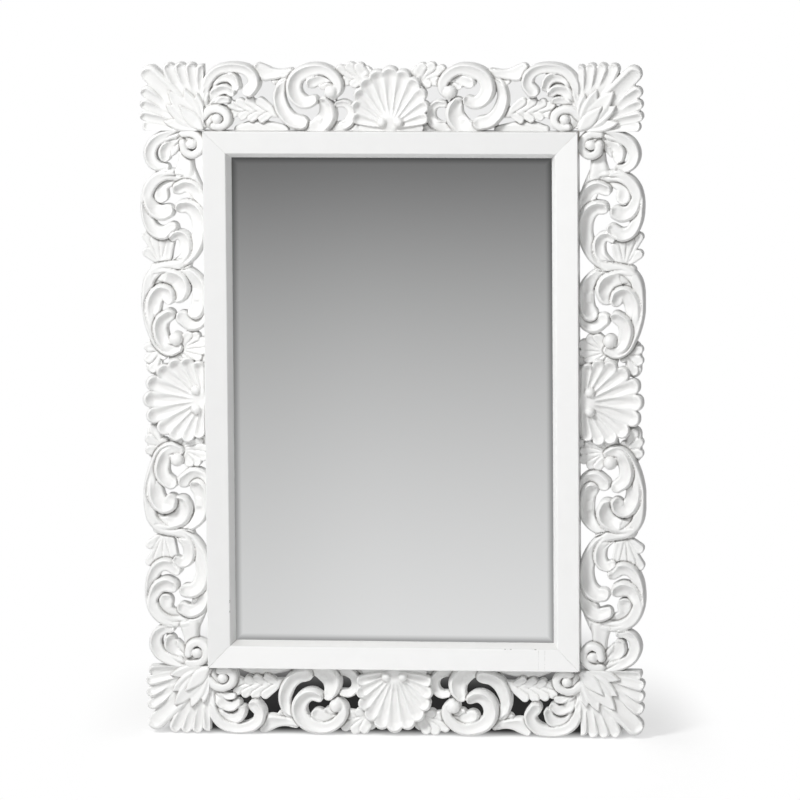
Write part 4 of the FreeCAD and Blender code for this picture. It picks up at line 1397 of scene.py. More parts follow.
def rail_strokes() -> list[Stroke]:
    """Right half of a top or bottom board: two scrolls, a leaf spray and the volute at the corner.

    Returns:
        The strokes, from the lowest to the one on top.
    """
    leaf = {"scoop": 1.5, "drop": 4.0, "cut": 1.6}
    small = {"scoop": 1.3, "drop": 3.0, "cut": 2.0}
    strokes = [band(12.5, 13.5, (27, 57, 9), (47, 57, 9.5), drop=3, tail=0)]
    strokes += spray(14.5, 17, (25, 54), 5, ((47, 50, 5.2), (37, 47.5, 4.6), (51, 62, 5.2), (41, 65, 5.2),
                                             (31.5, 64.5, 5.2)), **leaf)
    strokes += [
        band(12, 14, (4, 2.5, 5), (30, 2.5, 5), (47, 2.5, 5.5), (64, 2.5, 5), drop=3),
        band(13, 14, (108, 1, 4), (127, 3.5, 5.5), (142, 4, 5.5), (156, 1, 4), drop=4),
        band(17, 19, (58, 3.5, 5), (49, 4.5, 5.5), (42.5, 9, 5.5), (40, 16.5, 5.2), (42, 23.5, 4.8),
             (47.5, 27.5, 4.4), (54, 27, 3.6), scoop=2.8),
        band(17, 17, (101, 59, 4), (112, 56, 5.4), (116.5, 51.5, 5.2), **leaf),
        band(17, 19, (102, 60, 4), (112, 57.8, 4.6), (121, 57.5, 6), (128.5, 58.5, 8), (134.5, 63.8, 5.4),
             scoop=2, drop=4),
        band(17, 18, (113, 17.5, 4.6), (132, 20, 6.5), (147, 20.5, 6.5), (159, 21, 5.4), (168, 21, 3.6),
             drop=3, crest=0.1, tail=0),
    ]
    strokes += leaflets(17, 18.5, 4.0, (((150, 20.5), (161, 16)), ((140, 20), (151, 14)),
                                        ((130, 19.5), (141.5, 12)), ((120, 18.5), (131, 11))), **small)
    strokes += leaflets(17.5, 19.5, 4.4, (((151, 21.5), (162, 26)), ((141, 21), (153.5, 28.5)),
                                          ((131, 20.5), (143.5, 30)), ((120, 19.5), (133, 29.5))), **small)
    strokes += [
        band(20, 24, (84, 0.5, 7), (73, 4, 9.6), (65, 13.5, 10), (64.5, 22.5, 8.2), (67.5, 29, 5.8),
             scoop=4.6),
        band(19, 26, (103, 57, 4), (110, 47.5, 5.2), (113.5, 37.5, 6), (112.5, 27.5, 7), (107.5, 17, 7.4),
             (100, 10, 7.6), (91, 7.5, 7.5), scoop=4.2, grow=0.35),
        band(20, 22, (55, 46.5, 4), (61, 49.5, 5), (68, 47, 5.4), scoop=2.4, drop=4, tail=0),
        band(21, 24, (56, 53, 4.8), (67, 56, 6.4), (79, 50.5, 7.6), scoop=3.8, tail=0),
        band(23, 28, (58.5, 35, 4), (53, 42, 5), (54, 51, 5.6), (61.5, 59.3, 5.8), (72, 63.2, 6.2),
             (85, 61, 7.4), (95, 54.5, 7.8), (98.5, 44.5, 8), (96, 35.5, 7.8), (90, 29.8, 7.2),
             (84, 28.6, 6.4), (78.5, 30.8, 5.4), scoop=4.8, grow=0.75, tail=0),
        dome(60.3, 39.8, 6.8, 26.5, cut=1.2),
        Stroke(((176, 12.5, 14),), (21.5, 21.5), drop=6, crest=0.5, tail=0),
        band(15, 15, (185, 31, 9), (171, 46, 9), drop=3, tail=0),
        band(21, 23, (184, 23, 4), (177, 29, 4.4), (171, 31.5, 4.2), (166, 31, 3.4), scoop=2.5),
        band(21, 24, (187, 27, 4.2), (181.5, 35.5, 5.4), (174.5, 41, 5.8), (167.5, 42, 5.4), (162, 39, 4.6),
             scoop=3.5),
        band(22, 25, (188, 36, 4.4), (182, 48.5, 5.8), (174.5, 54.5, 6.3), (165.5, 55.5, 6.3),
             (159.5, 51.5, 5.8), (156.5, 45, 4.6), scoop=4),
        band(22, 27, (190, 6, 4.2), (190.5, 20, 4.4), (189.5, 33.5, 4.6), (187.5, 45.5, 5), (183, 55, 5.4),
             (176, 61.3, 5.4), (167, 64.2, 5.4), (157, 64.5, 5.5), (147, 62, 6), (140.3, 56, 6.2),
             (138.5, 47.5, 6.4), (143.5, 40.5, 6.8), scoop=3.4, grow=0.9),
        band(23, 27, (191, 14, 4.2), (184, 21, 4.4), (175, 22, 4.4), (167, 17.5, 4.5), (165.5, 9.5, 4.3),
             (171, 4, 4.2), (179.5, 4, 4), drop=5, crest=0.1, tail=0),
        dome(176.3, 12, 5.6, 27.4, cut=1.5),
    ]
    return strokes


def stile_strokes() -> list[Stroke]:
    """Upper half of a side board: corner volute, two scrolls and the leaves beside the shell.

    Returns:
        The strokes, from the lowest to the one on top.
    """
    leaf = {"scoop": 1.8, "drop": 4.0, "cut": 1.6}
    strokes = spray(17, 20, (134, 42), 5, ((146, 61.5, 4.8), (163, 62, 4.8), (159, 53, 4.6),
                                           (157.5, 44.5, 4.2), (156, 37, 4)), **leaf)
    strokes += [
        band(16, 17, (44, 4, 9), (46, 17, 10), (42, 31, 9), drop=3, tail=0),
        band(14, 15, (52, 55, 9), (32, 56, 8), drop=3, tail=0),
    ]
    strokes += spray(19, 21, (55, 28), 5, ((39.5, 18, 4.6), (42.5, 9.5, 5), (49, 4.5, 5), (57, 4, 5),
                                             (62.5, 11.5, 4.8), (64, 19, 4.6)), **leaf)
    strokes += spray(16, 18.5, (53, 51), 5, ((43, 46, 4.4), (30.5, 56.5, 5), (40.5, 61, 5.2),
                                             (51.5, 61, 5)), **leaf)
    strokes += [
        band(16, 16, (4, 2.5, 5), (31, 2.5, 5), drop=3, tail=0),
        band(16, 16, (124, 48, 6), (108, 56, 6), drop=3, tail=0),
        Stroke(((254.5, 13, 14),), (21.5, 21.5), drop=6, crest=0.5, tail=0),
        band(18, 21, (247, 19, 7.4), (236, 20, 8), (226, 21, 10), scoop=1.2, crest=0.2, tail=0),
        band(20, 21, (226, 19, 8.6), (216, 14.5, 8.6), (205, 10, 8.4), (190, 7, 6), drop=4, crest=0.2),
        band(19, 20, (258, 24, 4), (251, 30, 4.4), (245, 35, 3.8), scoop=2, tail=0),
        band(20, 23, (263, 24, 4), (256, 35, 5.6), (248, 41.5, 6.5), (241.5, 41.5, 5.8), scoop=4),
        band(22, 24, (267, 17, 5), (265, 30, 5.6), (261, 44, 6), (254.5, 53.5, 6.5), (245, 57.5, 6.6),
             (236, 55, 6), (231, 48, 5.2), (230.5, 41, 4.4), scoop=3.2),
        band(23, 27, (264.5, 22, 4), (264.5, 12, 4.2), (258.5, 4.5, 4.3), (249, 4, 4.3), (243.5, 11.5, 4.4),
             (246.5, 19.5, 4.5), (255, 22, 4.2), drop=5, crest=0.1, tail=0),
        dome(254, 12.8, 5.6, 27.4, cut=1.5),
        band(20, 23, (223, 14, 5), (217, 20, 5.4), (217.5, 30, 5.4), (216, 40, 6.3), (210.5, 46.5, 7.4),
             (202.5, 46, 7.6), scoop=4.5),
        band(21, 26, (217, 15, 6), (222.5, 28, 6), (223.5, 40, 6), (219.5, 50.5, 6.3), (212, 57.5, 6.4),
             (202, 61, 6.2), (191, 61.8, 5.9), (178.5, 59.8, 6), (168.5, 53.5, 6.6), (165.5, 44, 7),
             (170.5, 34.5, 6.4), scoop=3.2, grow=0.9),
        band(22, 25, (208, 61, 4), (197, 58.5, 5.8), (188.5, 53, 7.2), (185.5, 45.5, 8.3), (187, 39.5, 7.6),
             scoop=4),
        band(21, 24, (184, 2, 5), (198, 4.5, 6.2), (208, 10, 7.2), (212.5, 19, 7.2), (210, 27.5, 6.6),
             scoop=4.5),
        band(20, 26, (132, 34, 4.4), (141, 19, 7), (152.5, 10.5, 7.6), (165, 6.5, 7.4), (177, 6.5, 7.8),
             (187, 10.5, 8.1), (192, 17.5, 7.6), (192, 24, 7), scoop=5, grow=0.7),
        band(20, 24, (132, 36, 4.4), (143, 23.5, 6.2), (153, 20.5, 6.6), (161, 22.5, 6.4), (164, 28.5, 5.4),
             (161.5, 33.5, 4.4), scoop=4),
        band(20, 20, (135, 20, 5), (133, 36, 5.2), (130, 54, 5.2)),
        band(20, 23, (88, 2, 5), (78, 6.5, 7), (76, 15.5, 8.6), (81, 24.5, 7.8), scoop=3.2),
        band(21, 24, (132, 28, 4.2), (124, 15.5, 6.4), (115, 8, 7.4), (103, 6.5, 7.9), (92.5, 8, 8.1),
             (87.5, 11, 8.2), scoop=5),
        band(22, 25, (124, 54, 5.2), (123, 40, 7.8), (118.5, 29.5, 9.2), (110.5, 26, 9.6), (104.5, 28, 9),
             scoop=5.5),
        band(21, 23, (131, 30, 4.2), (132, 42, 5), (127.5, 52.5, 5.8), (119, 59.5, 6), (106, 62, 6),
             (91, 62, 6), (78, 59.8, 6), (66, 55.5, 6.2), (54.5, 48.5, 6.8), (48.5, 39, 6.2), (51, 30, 5.4),
             scoop=2.2, grow=0.9),
        band(21, 26, (74, 54.5, 5), (86, 56, 7.6), (98, 54.5, 8.6), (107, 48.5, 8), (106, 41, 7.4),
             (101, 38.5, 6.8), scoop=4.5, grow=0.4),
        band(23, 26, (50.5, 35, 5), (56, 44, 7), (68, 48.5, 7.6), (78, 46.5, 7.5), (84, 39, 6.6), scoop=4.5,
             grow=0.4),
        dome(60.3, 31.8, 6.9, 26.2, cut=1.2),
    ]
    return strokes


def corner_strokes() -> list[Stroke]:
    """Nine leaf fingers in the corner square, leaves over them and a pointed leaf on the diagonal.

    Returns:
        The strokes, from the lowest to the one on top.
    """
    finger = {"scoop": 2.6, "scoop_width": 0.92, "drop": 4.2, "crest": 0.6, "grow": 0.6, "cut": 0.6}
    leaf = {"scoop": 1.2, "drop": 2.8, "crest": 0.3, "tail": 0.1, "cut": 0.7}
    pointed = {"scoop": 1.2, "drop": 3.6, "crest": 0.3, "tail": 0.0, "cut": 1.0}
    heel = 2.0
    heel_share = 0.25
    heel_width = 4.6
    tip_share = 0.98
    leaf_root = (2.5, 3, 3.4)
    leaf_shape = ((0.5, 1.0), (0.8, 0.8), (1.06, 0.12))
    fingers = (((4, 34), (2, 62.5), 5.4), ((29, 3), (57, 4), 5.4), ((10, 36.5), (13, 64), 5.6),
               ((31, 9), (59.5, 15), 5.6), ((17.5, 40), (24, 64), 5.8), ((32, 17), (59, 27), 5.8),
               ((25, 40), (35.5, 63), 6.3), ((34, 24), (58, 39.5), 6.2), ((29, 32), (54.5, 58), 9.2))
    leaves = ((6, 36, 5.6), (37.5, 8.5, 6), (17.5, 39.5, 7.2), (35, 24, 7.8), (33, 37.5, 8.6))
    strokes = []
    for root, tip, width in fingers:
        first = (heel + root[0] * heel_share, heel + root[1] * heel_share, heel_width)
        middle = ((root[0] + tip[0]) / 2, (root[1] + tip[1]) / 2, width)
        strokes.append(band(21, 24, first, (*root, width), middle, (*tip, width * tip_share), **finger))
    for along, out, width in leaves:
        shape = [(along * far, out * far, width * share) for far, share in leaf_shape]
        strokes.append(band(23.6, 25.6, leaf_root, *shape, **leaf))
    strokes.append(band(26, 27.2, (2, 2.5, 2.8), (7, 7.5, 5.8), (12.5, 13.5, 6.4), (23.5, 25, 0.8),
                        **pointed))
    return strokes


# Frame


@dataclass
class Measures:
    """Sizes read from the frame's own nodes, in metres."""

    half_width: float = field(init=False)
    half_height: float = field(init=False)
    centre_z: float = field(init=False)
    rail_band: float = field(init=False)
    stile_band: float = field(init=False)
    seat: float = field(init=False)
    floor_z: float = field(init=False)
    outer_x: float = field(init=False)
    rail_squares: Pair = (190.0, 70.0)
    stile_squares: Pair = (267.5, 68.0)
    corner_squares: Pair = (66.0, 70.0)

    def __post_init__(self) -> None:
        """Measure the mouldings and the whole frame."""
        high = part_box("moulding_top")[1]
        self.half_width = high.x
        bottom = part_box("moulding_bottom")[0]
        self.half_height = (high.z - bottom.z) / 2
        self.centre_z = (high.z + bottom.z) / 2
        self.rail_band = CAD_BOX[1].z - high.z
        self.stile_band = CAD_BOX[1].x - self.half_width
        self.seat = -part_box("shell_top")[1].y / MM
        self.floor_z = CAD_BOX[0].z
        self.outer_x = CAD_BOX[1].x

    @staticmethod
    def square(length: float, breadth: float, squares: Pair) -> Pair:
        """Millimetres in one square of a pattern, for a board's length and breadth in metres."""
        return length / MM / squares[0], breadth / MM / squares[1]


SIZES = Measures()


class Turn(Enum):
    """Which way a piece of the frame points, as degrees clockwise from the top one."""

    TOP = 0
    RIGHT = 90
    BOTTOM = 180
    LEFT = 270

    @property
    def word(self) -> str:
        """The word for it in the pieces' names."""
        return self.name.lower()

    def matrix(self) -> Matrix:
        """Place a piece that is modelled for the top, out from the middle of the mirror.

        Returns:
            The matrix that carries it there.
        """
        level = self in (Turn.TOP, Turn.BOTTOM)
        out = Matrix.Translation((0, 0, SIZES.half_height if level else SIZES.half_width))
        spin = Matrix.Rotation(math.radians(self.value), 4, "Y")
        return Matrix.Translation((0, 0, SIZES.centre_z)) @ spin @ out


def fit(piece: bpy.types.Object, node: str, material: bpy.types.Material) -> None:
    """Put a piece in a node's stead, on the fixed body, with its finish.

    Args:
        piece: The modelled piece.
        node: The node it stands for.
        material: Its finish.
    """
    piece.data.materials.clear()
    piece.data.materials.append(material)
    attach(piece, FIXED_BODY)
    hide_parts(node)
    LOG.info("%s stands for %s with %d faces", piece.name, node, len(piece.data.polygons))


@dataclass
class CarvedBorder:
    """The pierced boards, shells and leaf corners round the moulding.

    Tips of flutes and beads are on the squares. Pegs are the dowels that stay covered, as (along, out)
    of two corners in millimetres, like the other lengths.
    """

    slot: str = "carved_paint"
    paint: Paint = Paint("carved_paint")
    shell_clearance: float = 0.3
    shell_reach: float = 62.0
    seat_share: float = 0.85
    seat_gap: float = 0.1
    rail_tips: tuple[Pair, ...] = ((0, 60), (13.5, 57), (24, 49), (31, 38), (34, 25.5), (34, 13))
    stile_tips: tuple[Pair, ...] = ((0, 60), (16.5, 57), (29, 46), (35.5, 33.5), (37.5, 20.5), (34, 8.5))
    stile_bead: Point = (9.5, 11.0, 4.6)
    rail_pegs: tuple[Peg, ...] = ((83.0, 0.0, 92.6, 13.5), (209.0, 20.0, 223.0, 30.0))
    stile_pegs: tuple[Peg, ...] = ((118.8, 0.0, 128.4, 13.5), (199.2, 0.0, 208.8, 13.5),
                                   (308.0, 20.3, 321.5, 30.0))
    corner_pegs: tuple[Peg, ...] = ((0.0, 20.0, 13.5, 30.0), (20.3, 0.0, 30.0, 13.5))

    def carver(self, relief: Relief, shell: Shell) -> Carver:
        """Prepare the carving of a board symmetrical about its middle, with a flat seat under its shell.

        Args:
            relief: Relief of one half of the board.
            shell: The shell that stands on it.

        Returns:
            What gives outline and height for spots.
        """
        seat = shell.outline(self.seat_share)
        room = shell.outline(1.0)
        top = SIZES.seat - self.seat_gap

        def carve(spots: Spots) -> tuple[Spots, Spots]:
            """Mirror the half, and lower it under the shell.

            Args:
                spots: Rows (along, out) in millimetres.

            Returns:
                How far each lies inside the outline, and its height above the wall.
            """
            folded = np.stack([np.abs(spots[:, 0]), spots[:, 1]], 1)
            inside, height = relief.measure(folded)
            ground = seat.highest(spots)[0]
            covered = room.highest(spots)[0]
            height = np.where(ground > -Relief.OUTSIDE, np.maximum(height, top), height)
            height = np.where(covered > -self.shell_clearance, np.minimum(height, top), height)
            return np.maximum(inside, ground), height

        return carve

    def side(self, kind: str, half: float, breadth: float, relief: Relief, shell: Shell,
             pegs: tuple[Peg, ...]) -> tuple[tuple[str, Board], tuple[str, Board]]:
        """Set up the board of a side and its shell.

        Args:
            kind: What such a side is called, rail or stile.
            half: Half the length of the board in metres.
            breadth: Breadth of the board in metres.
            relief: Relief of one half of the board.
            shell: The shell that stands on it.
            pegs: Places of the board's dowels.

        Returns:
            The beginning of the node's name and the board to carve, for the board and for the shell.
        """
        out = breadth / MM
        carved = Board(f"{kind}_master", (-half / MM, 0.0), (half / MM, out), self.carver(relief, shell),
                       pegs=pegs)
        scallop = Board(f"{kind}_shell_master", (-self.shell_reach, 0.0), (self.shell_reach, out),
                        shell.measure, SIZES.seat)
        return (f"carved_{kind}", carved), ("shell", scallop)

    def build(self) -> None:
        """Carve one of each kind and copy it to its places."""
        material = self.paint.make()
        rail = SIZES.square(SIZES.half_width, SIZES.rail_band, SIZES.rail_squares)
        stile = SIZES.square(SIZES.half_height, SIZES.stile_band, SIZES.stile_squares)
        rails = self.side("rail", SIZES.half_width, SIZES.rail_band, Relief(rail, rail_strokes()),
                          Shell(rail, self.rail_tips), self.rail_pegs)
        stiles = self.side("stile", SIZES.half_height, SIZES.stile_band, Relief(stile, stile_strokes()),
                           Shell(stile, self.stile_tips, bead=self.stile_bead), self.stile_pegs)
        for boards, turns in ((rails, (Turn.TOP, Turn.BOTTOM)), (stiles, (Turn.LEFT, Turn.RIGHT))):
            for node, board in boards:
                master = board.make()
                for turn in turns:
                    piece = Bench.copy(master, f"{node}_{turn.word}_carving", turn.matrix())
                    fit(piece, f"{node}_{turn.word}", material)
                bpy.data.objects.remove(master)
        self.corners(material)

    def corners(self, material: bpy.types.Material) -> None:
        """Carve the leaf corner and mirror it into the four corners.

        Args:
            material: The finish.
        """
        square = SIZES.square(SIZES.stile_band, SIZES.rail_band, SIZES.corner_squares)
        relief = Relief(square, corner_strokes())
        size = (SIZES.stile_band / MM, SIZES.rail_band / MM)
        master = Board("corner_master", (0.0, 0.0), size, relief.measure, pegs=self.corner_pegs).make()
        for level, up in (("top", 1), ("bottom", -1)):
            for end, out in (("left", -1), ("right", 1)):
                height = SIZES.centre_z + up * SIZES.half_height
                place = Matrix.Translation((out * SIZES.half_width, 0, height))
                node = f"corner_leaf_{level}_{end}"
                piece = Bench.copy(master, node + "_carving", place @ Matrix.Diagonal((out, 1, up, 1)))
                fit(piece, node, material)
        bpy.data.objects.remove(master)


@dataclass
class Moulding:
    """The mitred moulding that holds the glass: a sloping face and a steep reveal, in metres."""

    slot: str = "moulding_paint"
    # Its painted shade darkens faces that look up, such as the bottom reveal.
    paint: Paint = Paint(
        "moulding_paint", colour=(0.84, 0.84, 0.835), shade=(0.815, 0.815, 0.81), roughness=0.38,
        painted_shade_amount=0.5, bump=0.04, middle=SIZES.centre_z, up_facing_shade=0.4, marks=(
            Mark(137, -295, 4.2, 0.3, 0.8), Mark(168.4, -295, 2.4, 0.3, 0.9),
            Mark(173.5, -307.5, 0.1, 11.5, 0.45), Mark(181, -307.5, 0.1, 11.5, 0.45),
            Mark(-196, -240.8, 0.3, 1.6, 0.7), Mark(-196, -252.8, 0.3, 1.6, 0.6),
            Mark(-221.6, 320.2, 0.5, 0.8, 1.0), Mark(221.6, 320.2, 0.5, 0.8, 1.0),
            Mark(221.6, -320.2, 0.6, 0.8, 1.0), Mark(-221.6, -320.2, 0.4, 0.6, 0.7)))
    face: float = 26.5 * MM
    face_fall: float = 4.5 * MM
    reveal: float = 5.5 * MM
    rebate: float = 7.0 * MM
    lip: float = 1.5 * MM
    arris: float = 1.1 * MM
    arris_steps: int = 4
    mitre_gap: float = 0.12 * MM
    overrun: float = 10.0 * MM
    same_place: float = 0.01 * MM
    sharp: float = 35.0

    def profile(self) -> list[Pair]:
        """Draw the section.

        Returns:
            Its corners as (inset from the outer edge, y).
        """
        low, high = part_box("moulding_top")
        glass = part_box("mirror_glass")[0].y
        sight = self.face + self.reveal
        wall = sight - self.rebate
        return [(0, high.y), (0, low.y), (self.face, low.y + self.face_fall), (sight, glass - self.lip),
                (sight, glass), (wall, glass), (wall, high.y)]

    def run(self, turn: Turn) -> bpy.types.Object:
        """Run the section along one side and cut it at both mitres.

        Args:
            turn: Which side it is.

        Returns:
            The finished piece.
        """
        level = turn in (Turn.TOP, Turn.BOTTOM)
        half = (SIZES.half_width if level else SIZES.half_height) + self.overrun
        corners = self.profile()
        Bench.clear()
        bpy.ops.mesh.primitive_circle_add(vertices=len(corners), fill_type="NGON")
        piece = bpy.context.active_object
        piece.name = f"moulding_{turn.word}_run"
        Bench.move_to(piece, np.array([(-half, y, -inset) for inset, y in corners]))
        Bench.edit(piece, "FACE")
        bpy.ops.mesh.select_all(action="SELECT")
        bpy.ops.mesh.extrude_region_move(TRANSFORM_OT_translate={"value": (2 * half, 0, 0)})
        reach = half - self.overrun - self.mitre_gap
        for side in (-1, 1):
            bpy.ops.mesh.select_all(action="SELECT")
            bpy.ops.mesh.bisect(plane_co=(side * reach, 0, 0), plane_no=(side, 0, -1), use_fill=True,
                                clear_outer=True)
        bpy.ops.object.mode_set(mode="OBJECT")
        aims = [np.array((y, -inset)) for inset, y in corners[1:3]]

        def runs_along(first: np.ndarray, second: np.ndarray) -> bool:
            """Whether an edge is one of the two long front edges of the section."""
            ends = np.stack((first, second))[:, 1:]
            return any(np.abs(ends - aim).max() < self.same_place for aim in aims)

        Bench.bevel(piece, runs_along, self.arris, self.arris_steps)
        piece.data.transform(turn.matrix())
        Bench.finish_mesh(piece, self.sharp, flat_faces=True)
        return piece

    def build(self) -> None:
        """Make the four sides."""
        material = self.paint.make()
        for turn in Turn:
            fit(self.run(turn), f"moulding_{turn.word}", material)


def dress(material: bpy.types.Material, *nodes: str) -> None:
    """Give nodes that keep their own shape a finish.

    Args:
        material: The finish.
        nodes: Names of the nodes.
    """
    for node in nodes:
        piece = frame["nodes"][node]
        piece.data.materials.clear()
        piece.data.materials.append(material)
        LOG.info("%s is dressed in %s", node, material.name)


@dataclass
class Glazing:
    """The mirror glass, with ground edges, and the card and board behind it."""

    slot: str = "silvered_glass"
    card: Fibre = Fibre("kraft_card", (0.6, 0.49, 0.36), (0.5, 0.4, 0.28), density=90.0)
    board: Fibre = Fibre("hardboard", (0.42, 0.29, 0.18), (0.3, 0.2, 0.12), length=0.8, density=240.0,
                         roughness=0.6)
    edge: float = 0.6 * MM
    edge_steps: int = 2
    sharp: float = 50.0
    sight: float = 32.0 * MM

    def build(self) -> None:
        """Model the glass and dress the card and the backing board."""
        low, high = (np.array(corner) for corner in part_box("mirror_glass"))
        Bench.clear()
        bpy.ops.mesh.primitive_cube_add(size=1)
        piece = bpy.context.active_object
        piece.name = "mirror_glass_plate"
        Bench.move_to(piece, Bench.coordinates(piece) * (high - low) + (low + high) / 2)
        Bench.bevel(piece, lambda first, second: True, self.edge, self.edge_steps)
        Bench.finish_mesh(piece, self.sharp, flat_faces=True)
        silver = Silvering(self.slot, SIZES.centre_z, SIZES.half_width - self.sight,
                           SIZES.half_height - self.sight)
        fit(piece, "mirror_glass", silver.make())
        dress(self.card.make(), "protective_card")
        dress(self.board.make(), "backing_board")


@dataclass
class Hardware:
    """Turn buttons, hangers, screws, dowels and keys, which keep the frame's own shapes."""

    steel: Plate = Plate("zinc_steel", (0.72, 0.73, 0.74), (0.55, 0.56, 0.57), 0.28)
    brass: Plate = Plate("brass_plate", (0.83, 0.66, 0.34), (0.6, 0.45, 0.2), 0.26)
    beech: Fibre = Fibre("beech", (0.76, 0.6, 0.42), (0.62, 0.46, 0.3), density=220.0)

    def build(self) -> None:
        """Dress every piece of hardware."""
        every = list(frame["nodes"])
        hangers = [name for name in every if name.startswith("hanger_") or name == "button_screws"]
        dress(self.steel.make(), *hangers)
        dress(self.brass.make(), *[name for name in every if name.startswith("turn_button_")])
        dress(self.beech.make(), "frame_dowels", "mitre_keys")


@dataclass
class Stage:
    """Pale floor, soft studio light and the camera, in metres, degrees and watts.

    Values in px are read from the photo. A range is where an effect starts and where it is full. The
    painted shadow is the floor close behind the mirror, painted dark where little light would reach, the
    painted far shade is a pale grey painted on the floor further behind, which shows through the top board,
    and the reflected floor is a glow painted darker with distance, which the glass shows.
    """

    scale: float = 1.184 * MM
    centre_px: Pair = (391.5, 402.0)
    frame_px: float = 800.0
    front_y: float = -0.03
    elevation: float = 7.0
    azimuth: float = 6.5
    roll: float = -0.4
    distance: float = 8.0
    sensor: float = 36.0
    view_end: float = 100.0
    floor_reach: float = 40.0
    floor_gap: float = 0.5 * MM
    key_place: Point = (-2.0, -3.2, 3.2)
    key_size: float = 1.3
    key_power: float = 191.0
    fill_place: Point = (0.1, -3.9, 1.5)
    fill_size: float = 1.6
    fill_power: float = 21.0
    world_strength: float = 0.14
    floor_tone: float = 0.93
    near_tone: float = 0.4
    near_glow: float = 0.72
    side_fade: float = 6.0
    shadow_reach: Pair = (0.06, 0.6)
    painted_shadow_tone: float = 0.03
    painted_shadow_near_tone: float = 0.02
    painted_shadow_start: Pair = (-0.03, 0.03)
    painted_shadow_end: Pair = (1.05, 0.3)
    painted_shadow_side: Pair = (0.3, 0.24)
    painted_far_shade_tone: float = 0.85
    painted_far_shade_start: Pair = (8.5, 8.8)
    painted_far_shade_end: Pair = (10.7, 10.4)
    painted_far_shade_side: Pair = (0.55, 0.5)
    reflected_depth: Pair = (-9.2, -0.62)
    reflected_level: Pair = (0.13, 0.85)
    reflected_curve: float = 1.25

    def camera(self) -> None:
        """Camera with a long lens, a little above the mirror."""
        middle = self.frame_px / 2
        tilt = math.radians(self.elevation)
        turn = math.radians(self.azimuth)
        right = Vector((math.cos(turn), math.sin(turn), 0))
        target = Vector((0, self.front_y, SIZES.centre_z + (self.centre_px[1] - middle) * self.scale))
        target += right * (middle - self.centre_px[0]) * self.scale
        back = Vector((math.sin(turn) * math.cos(tilt), -math.cos(turn) * math.cos(tilt), math.sin(tilt)))
        Bench.clear()
        bpy.ops.object.camera_add(location=target + back * self.distance)
        camera = bpy.context.active_object
        lean = Matrix.Rotation(math.radians(self.roll), 3, "Z")
        aim = (-back).to_track_quat("-Z", "Y").to_matrix() @ lean
        camera.rotation_euler = aim.to_euler()
        camera.data.sensor_width = self.sensor
        camera.data.lens = self.sensor * self.distance / (self.frame_px * self.scale)
        camera.data.clip_end = self.view_end
        bpy.context.scene.camera = camera

    def lamp(self, name: str, place: Point, size: float, power: float) -> None:
        """Put up one softbox that points at the middle of the mirror.

        Args:
            name: Its name.
            place: Its place from the mirror's middle.
            size: Its size.
            power: Its power.
        """
        target = Vector((0, 0, SIZES.centre_z))
        Bench.clear()
        bpy.ops.object.light_add(type="AREA", location=target + Vector(place))
        lamp = bpy.context.active_object
        lamp.name = name
        lamp.rotation_euler = (-Vector(place)).to_track_quat("-Z", "Y").to_euler()
        lamp.data.shape = "DISK"
        lamp.data.size = size
        lamp.data.energy = power

    @staticmethod
    def patch(nodes: Nodes, depth: object, aside: object, start: Pair, end: Pair,
              side: Pair) -> bpy.types.NodeSocket:
        """Mark out a part of the floor with soft edges.

        Args:
            nodes: The floor's node helper.
            depth: Distance behind the wall's plane.
            aside: Distance from the middle as the camera sees it.
            start: Range of depth over which the part begins.
            end: Range of depth over which it ends.
            side: Range over which it ends to the sides.

        Returns:
            The socket that is 1 in that part.
        """
        behind = nodes.math("MULTIPLY", nodes.ramp(depth, *start), nodes.ramp(depth, *end))
        return nodes.math("MULTIPLY", behind, nodes.ramp(aside, *side))

    def seen_floor(self, nodes: Nodes, depth: object, aside: object) -> bpy.types.NodeSocket:
        """Floor as the camera sees it: white, with the real shadow kept near the mirror, a painted shadow
        close behind it and a painted pale grey further behind.

        Args:
            nodes: The floor's node helper.
            depth: Distance behind the wall's plane.
            aside: Distance from the middle as the camera sees it.

        Returns:
            The socket that holds the shader.
        """
        # Painted shadow: the floor close behind the mirror is painted nearly black.
        painted_shadow = self.patch(nodes, depth, aside, self.painted_shadow_start, self.painted_shadow_end, self.painted_shadow_side)
        tint = nodes.mix(painted_shadow, grey(self.near_tone), grey(self.painted_shadow_near_tone))
        pale = nodes.add("BsdfDiffuse", Color=tint).outputs["BSDF"]
        colour = nodes.mix(painted_shadow, grey(self.floor_tone), grey(self.painted_shadow_tone))
        glow = nodes.add("Emission", Color=colour, Strength=self.near_glow).outputs["Emission"]
        # Painted shade: a pale grey on the floor far behind, seen through the top board.
        painted_shade_ramp = self.patch(nodes, depth, aside, self.painted_far_shade_start, self.painted_far_shade_end, self.painted_far_shade_side)
        shaded_white = nodes.mix(painted_shade_ramp, grey(1.0), grey(self.painted_far_shade_tone))
        white = nodes.add("Emission", Color=shaded_white, Strength=1.0).outputs["Emission"]
        beside = nodes.math("MAXIMUM", nodes.math("SUBTRACT", aside, SIZES.outer_x), 0.0)
        beside = nodes.math("MULTIPLY", beside, self.side_fade)
        squares = [nodes.math("MULTIPLY", gap, gap) for gap in (beside, depth)]
        reach = nodes.math("SQRT", nodes.math("ADD", *squares))
        bright = nodes.math("SUBTRACT", 1.0, painted_shadow)
        clear = nodes.math("MULTIPLY", nodes.ramp(reach, *self.shadow_reach), bright)
        return nodes.join("MixShader", nodes.join("AddShader", pale, glow), white, Fac=clear)

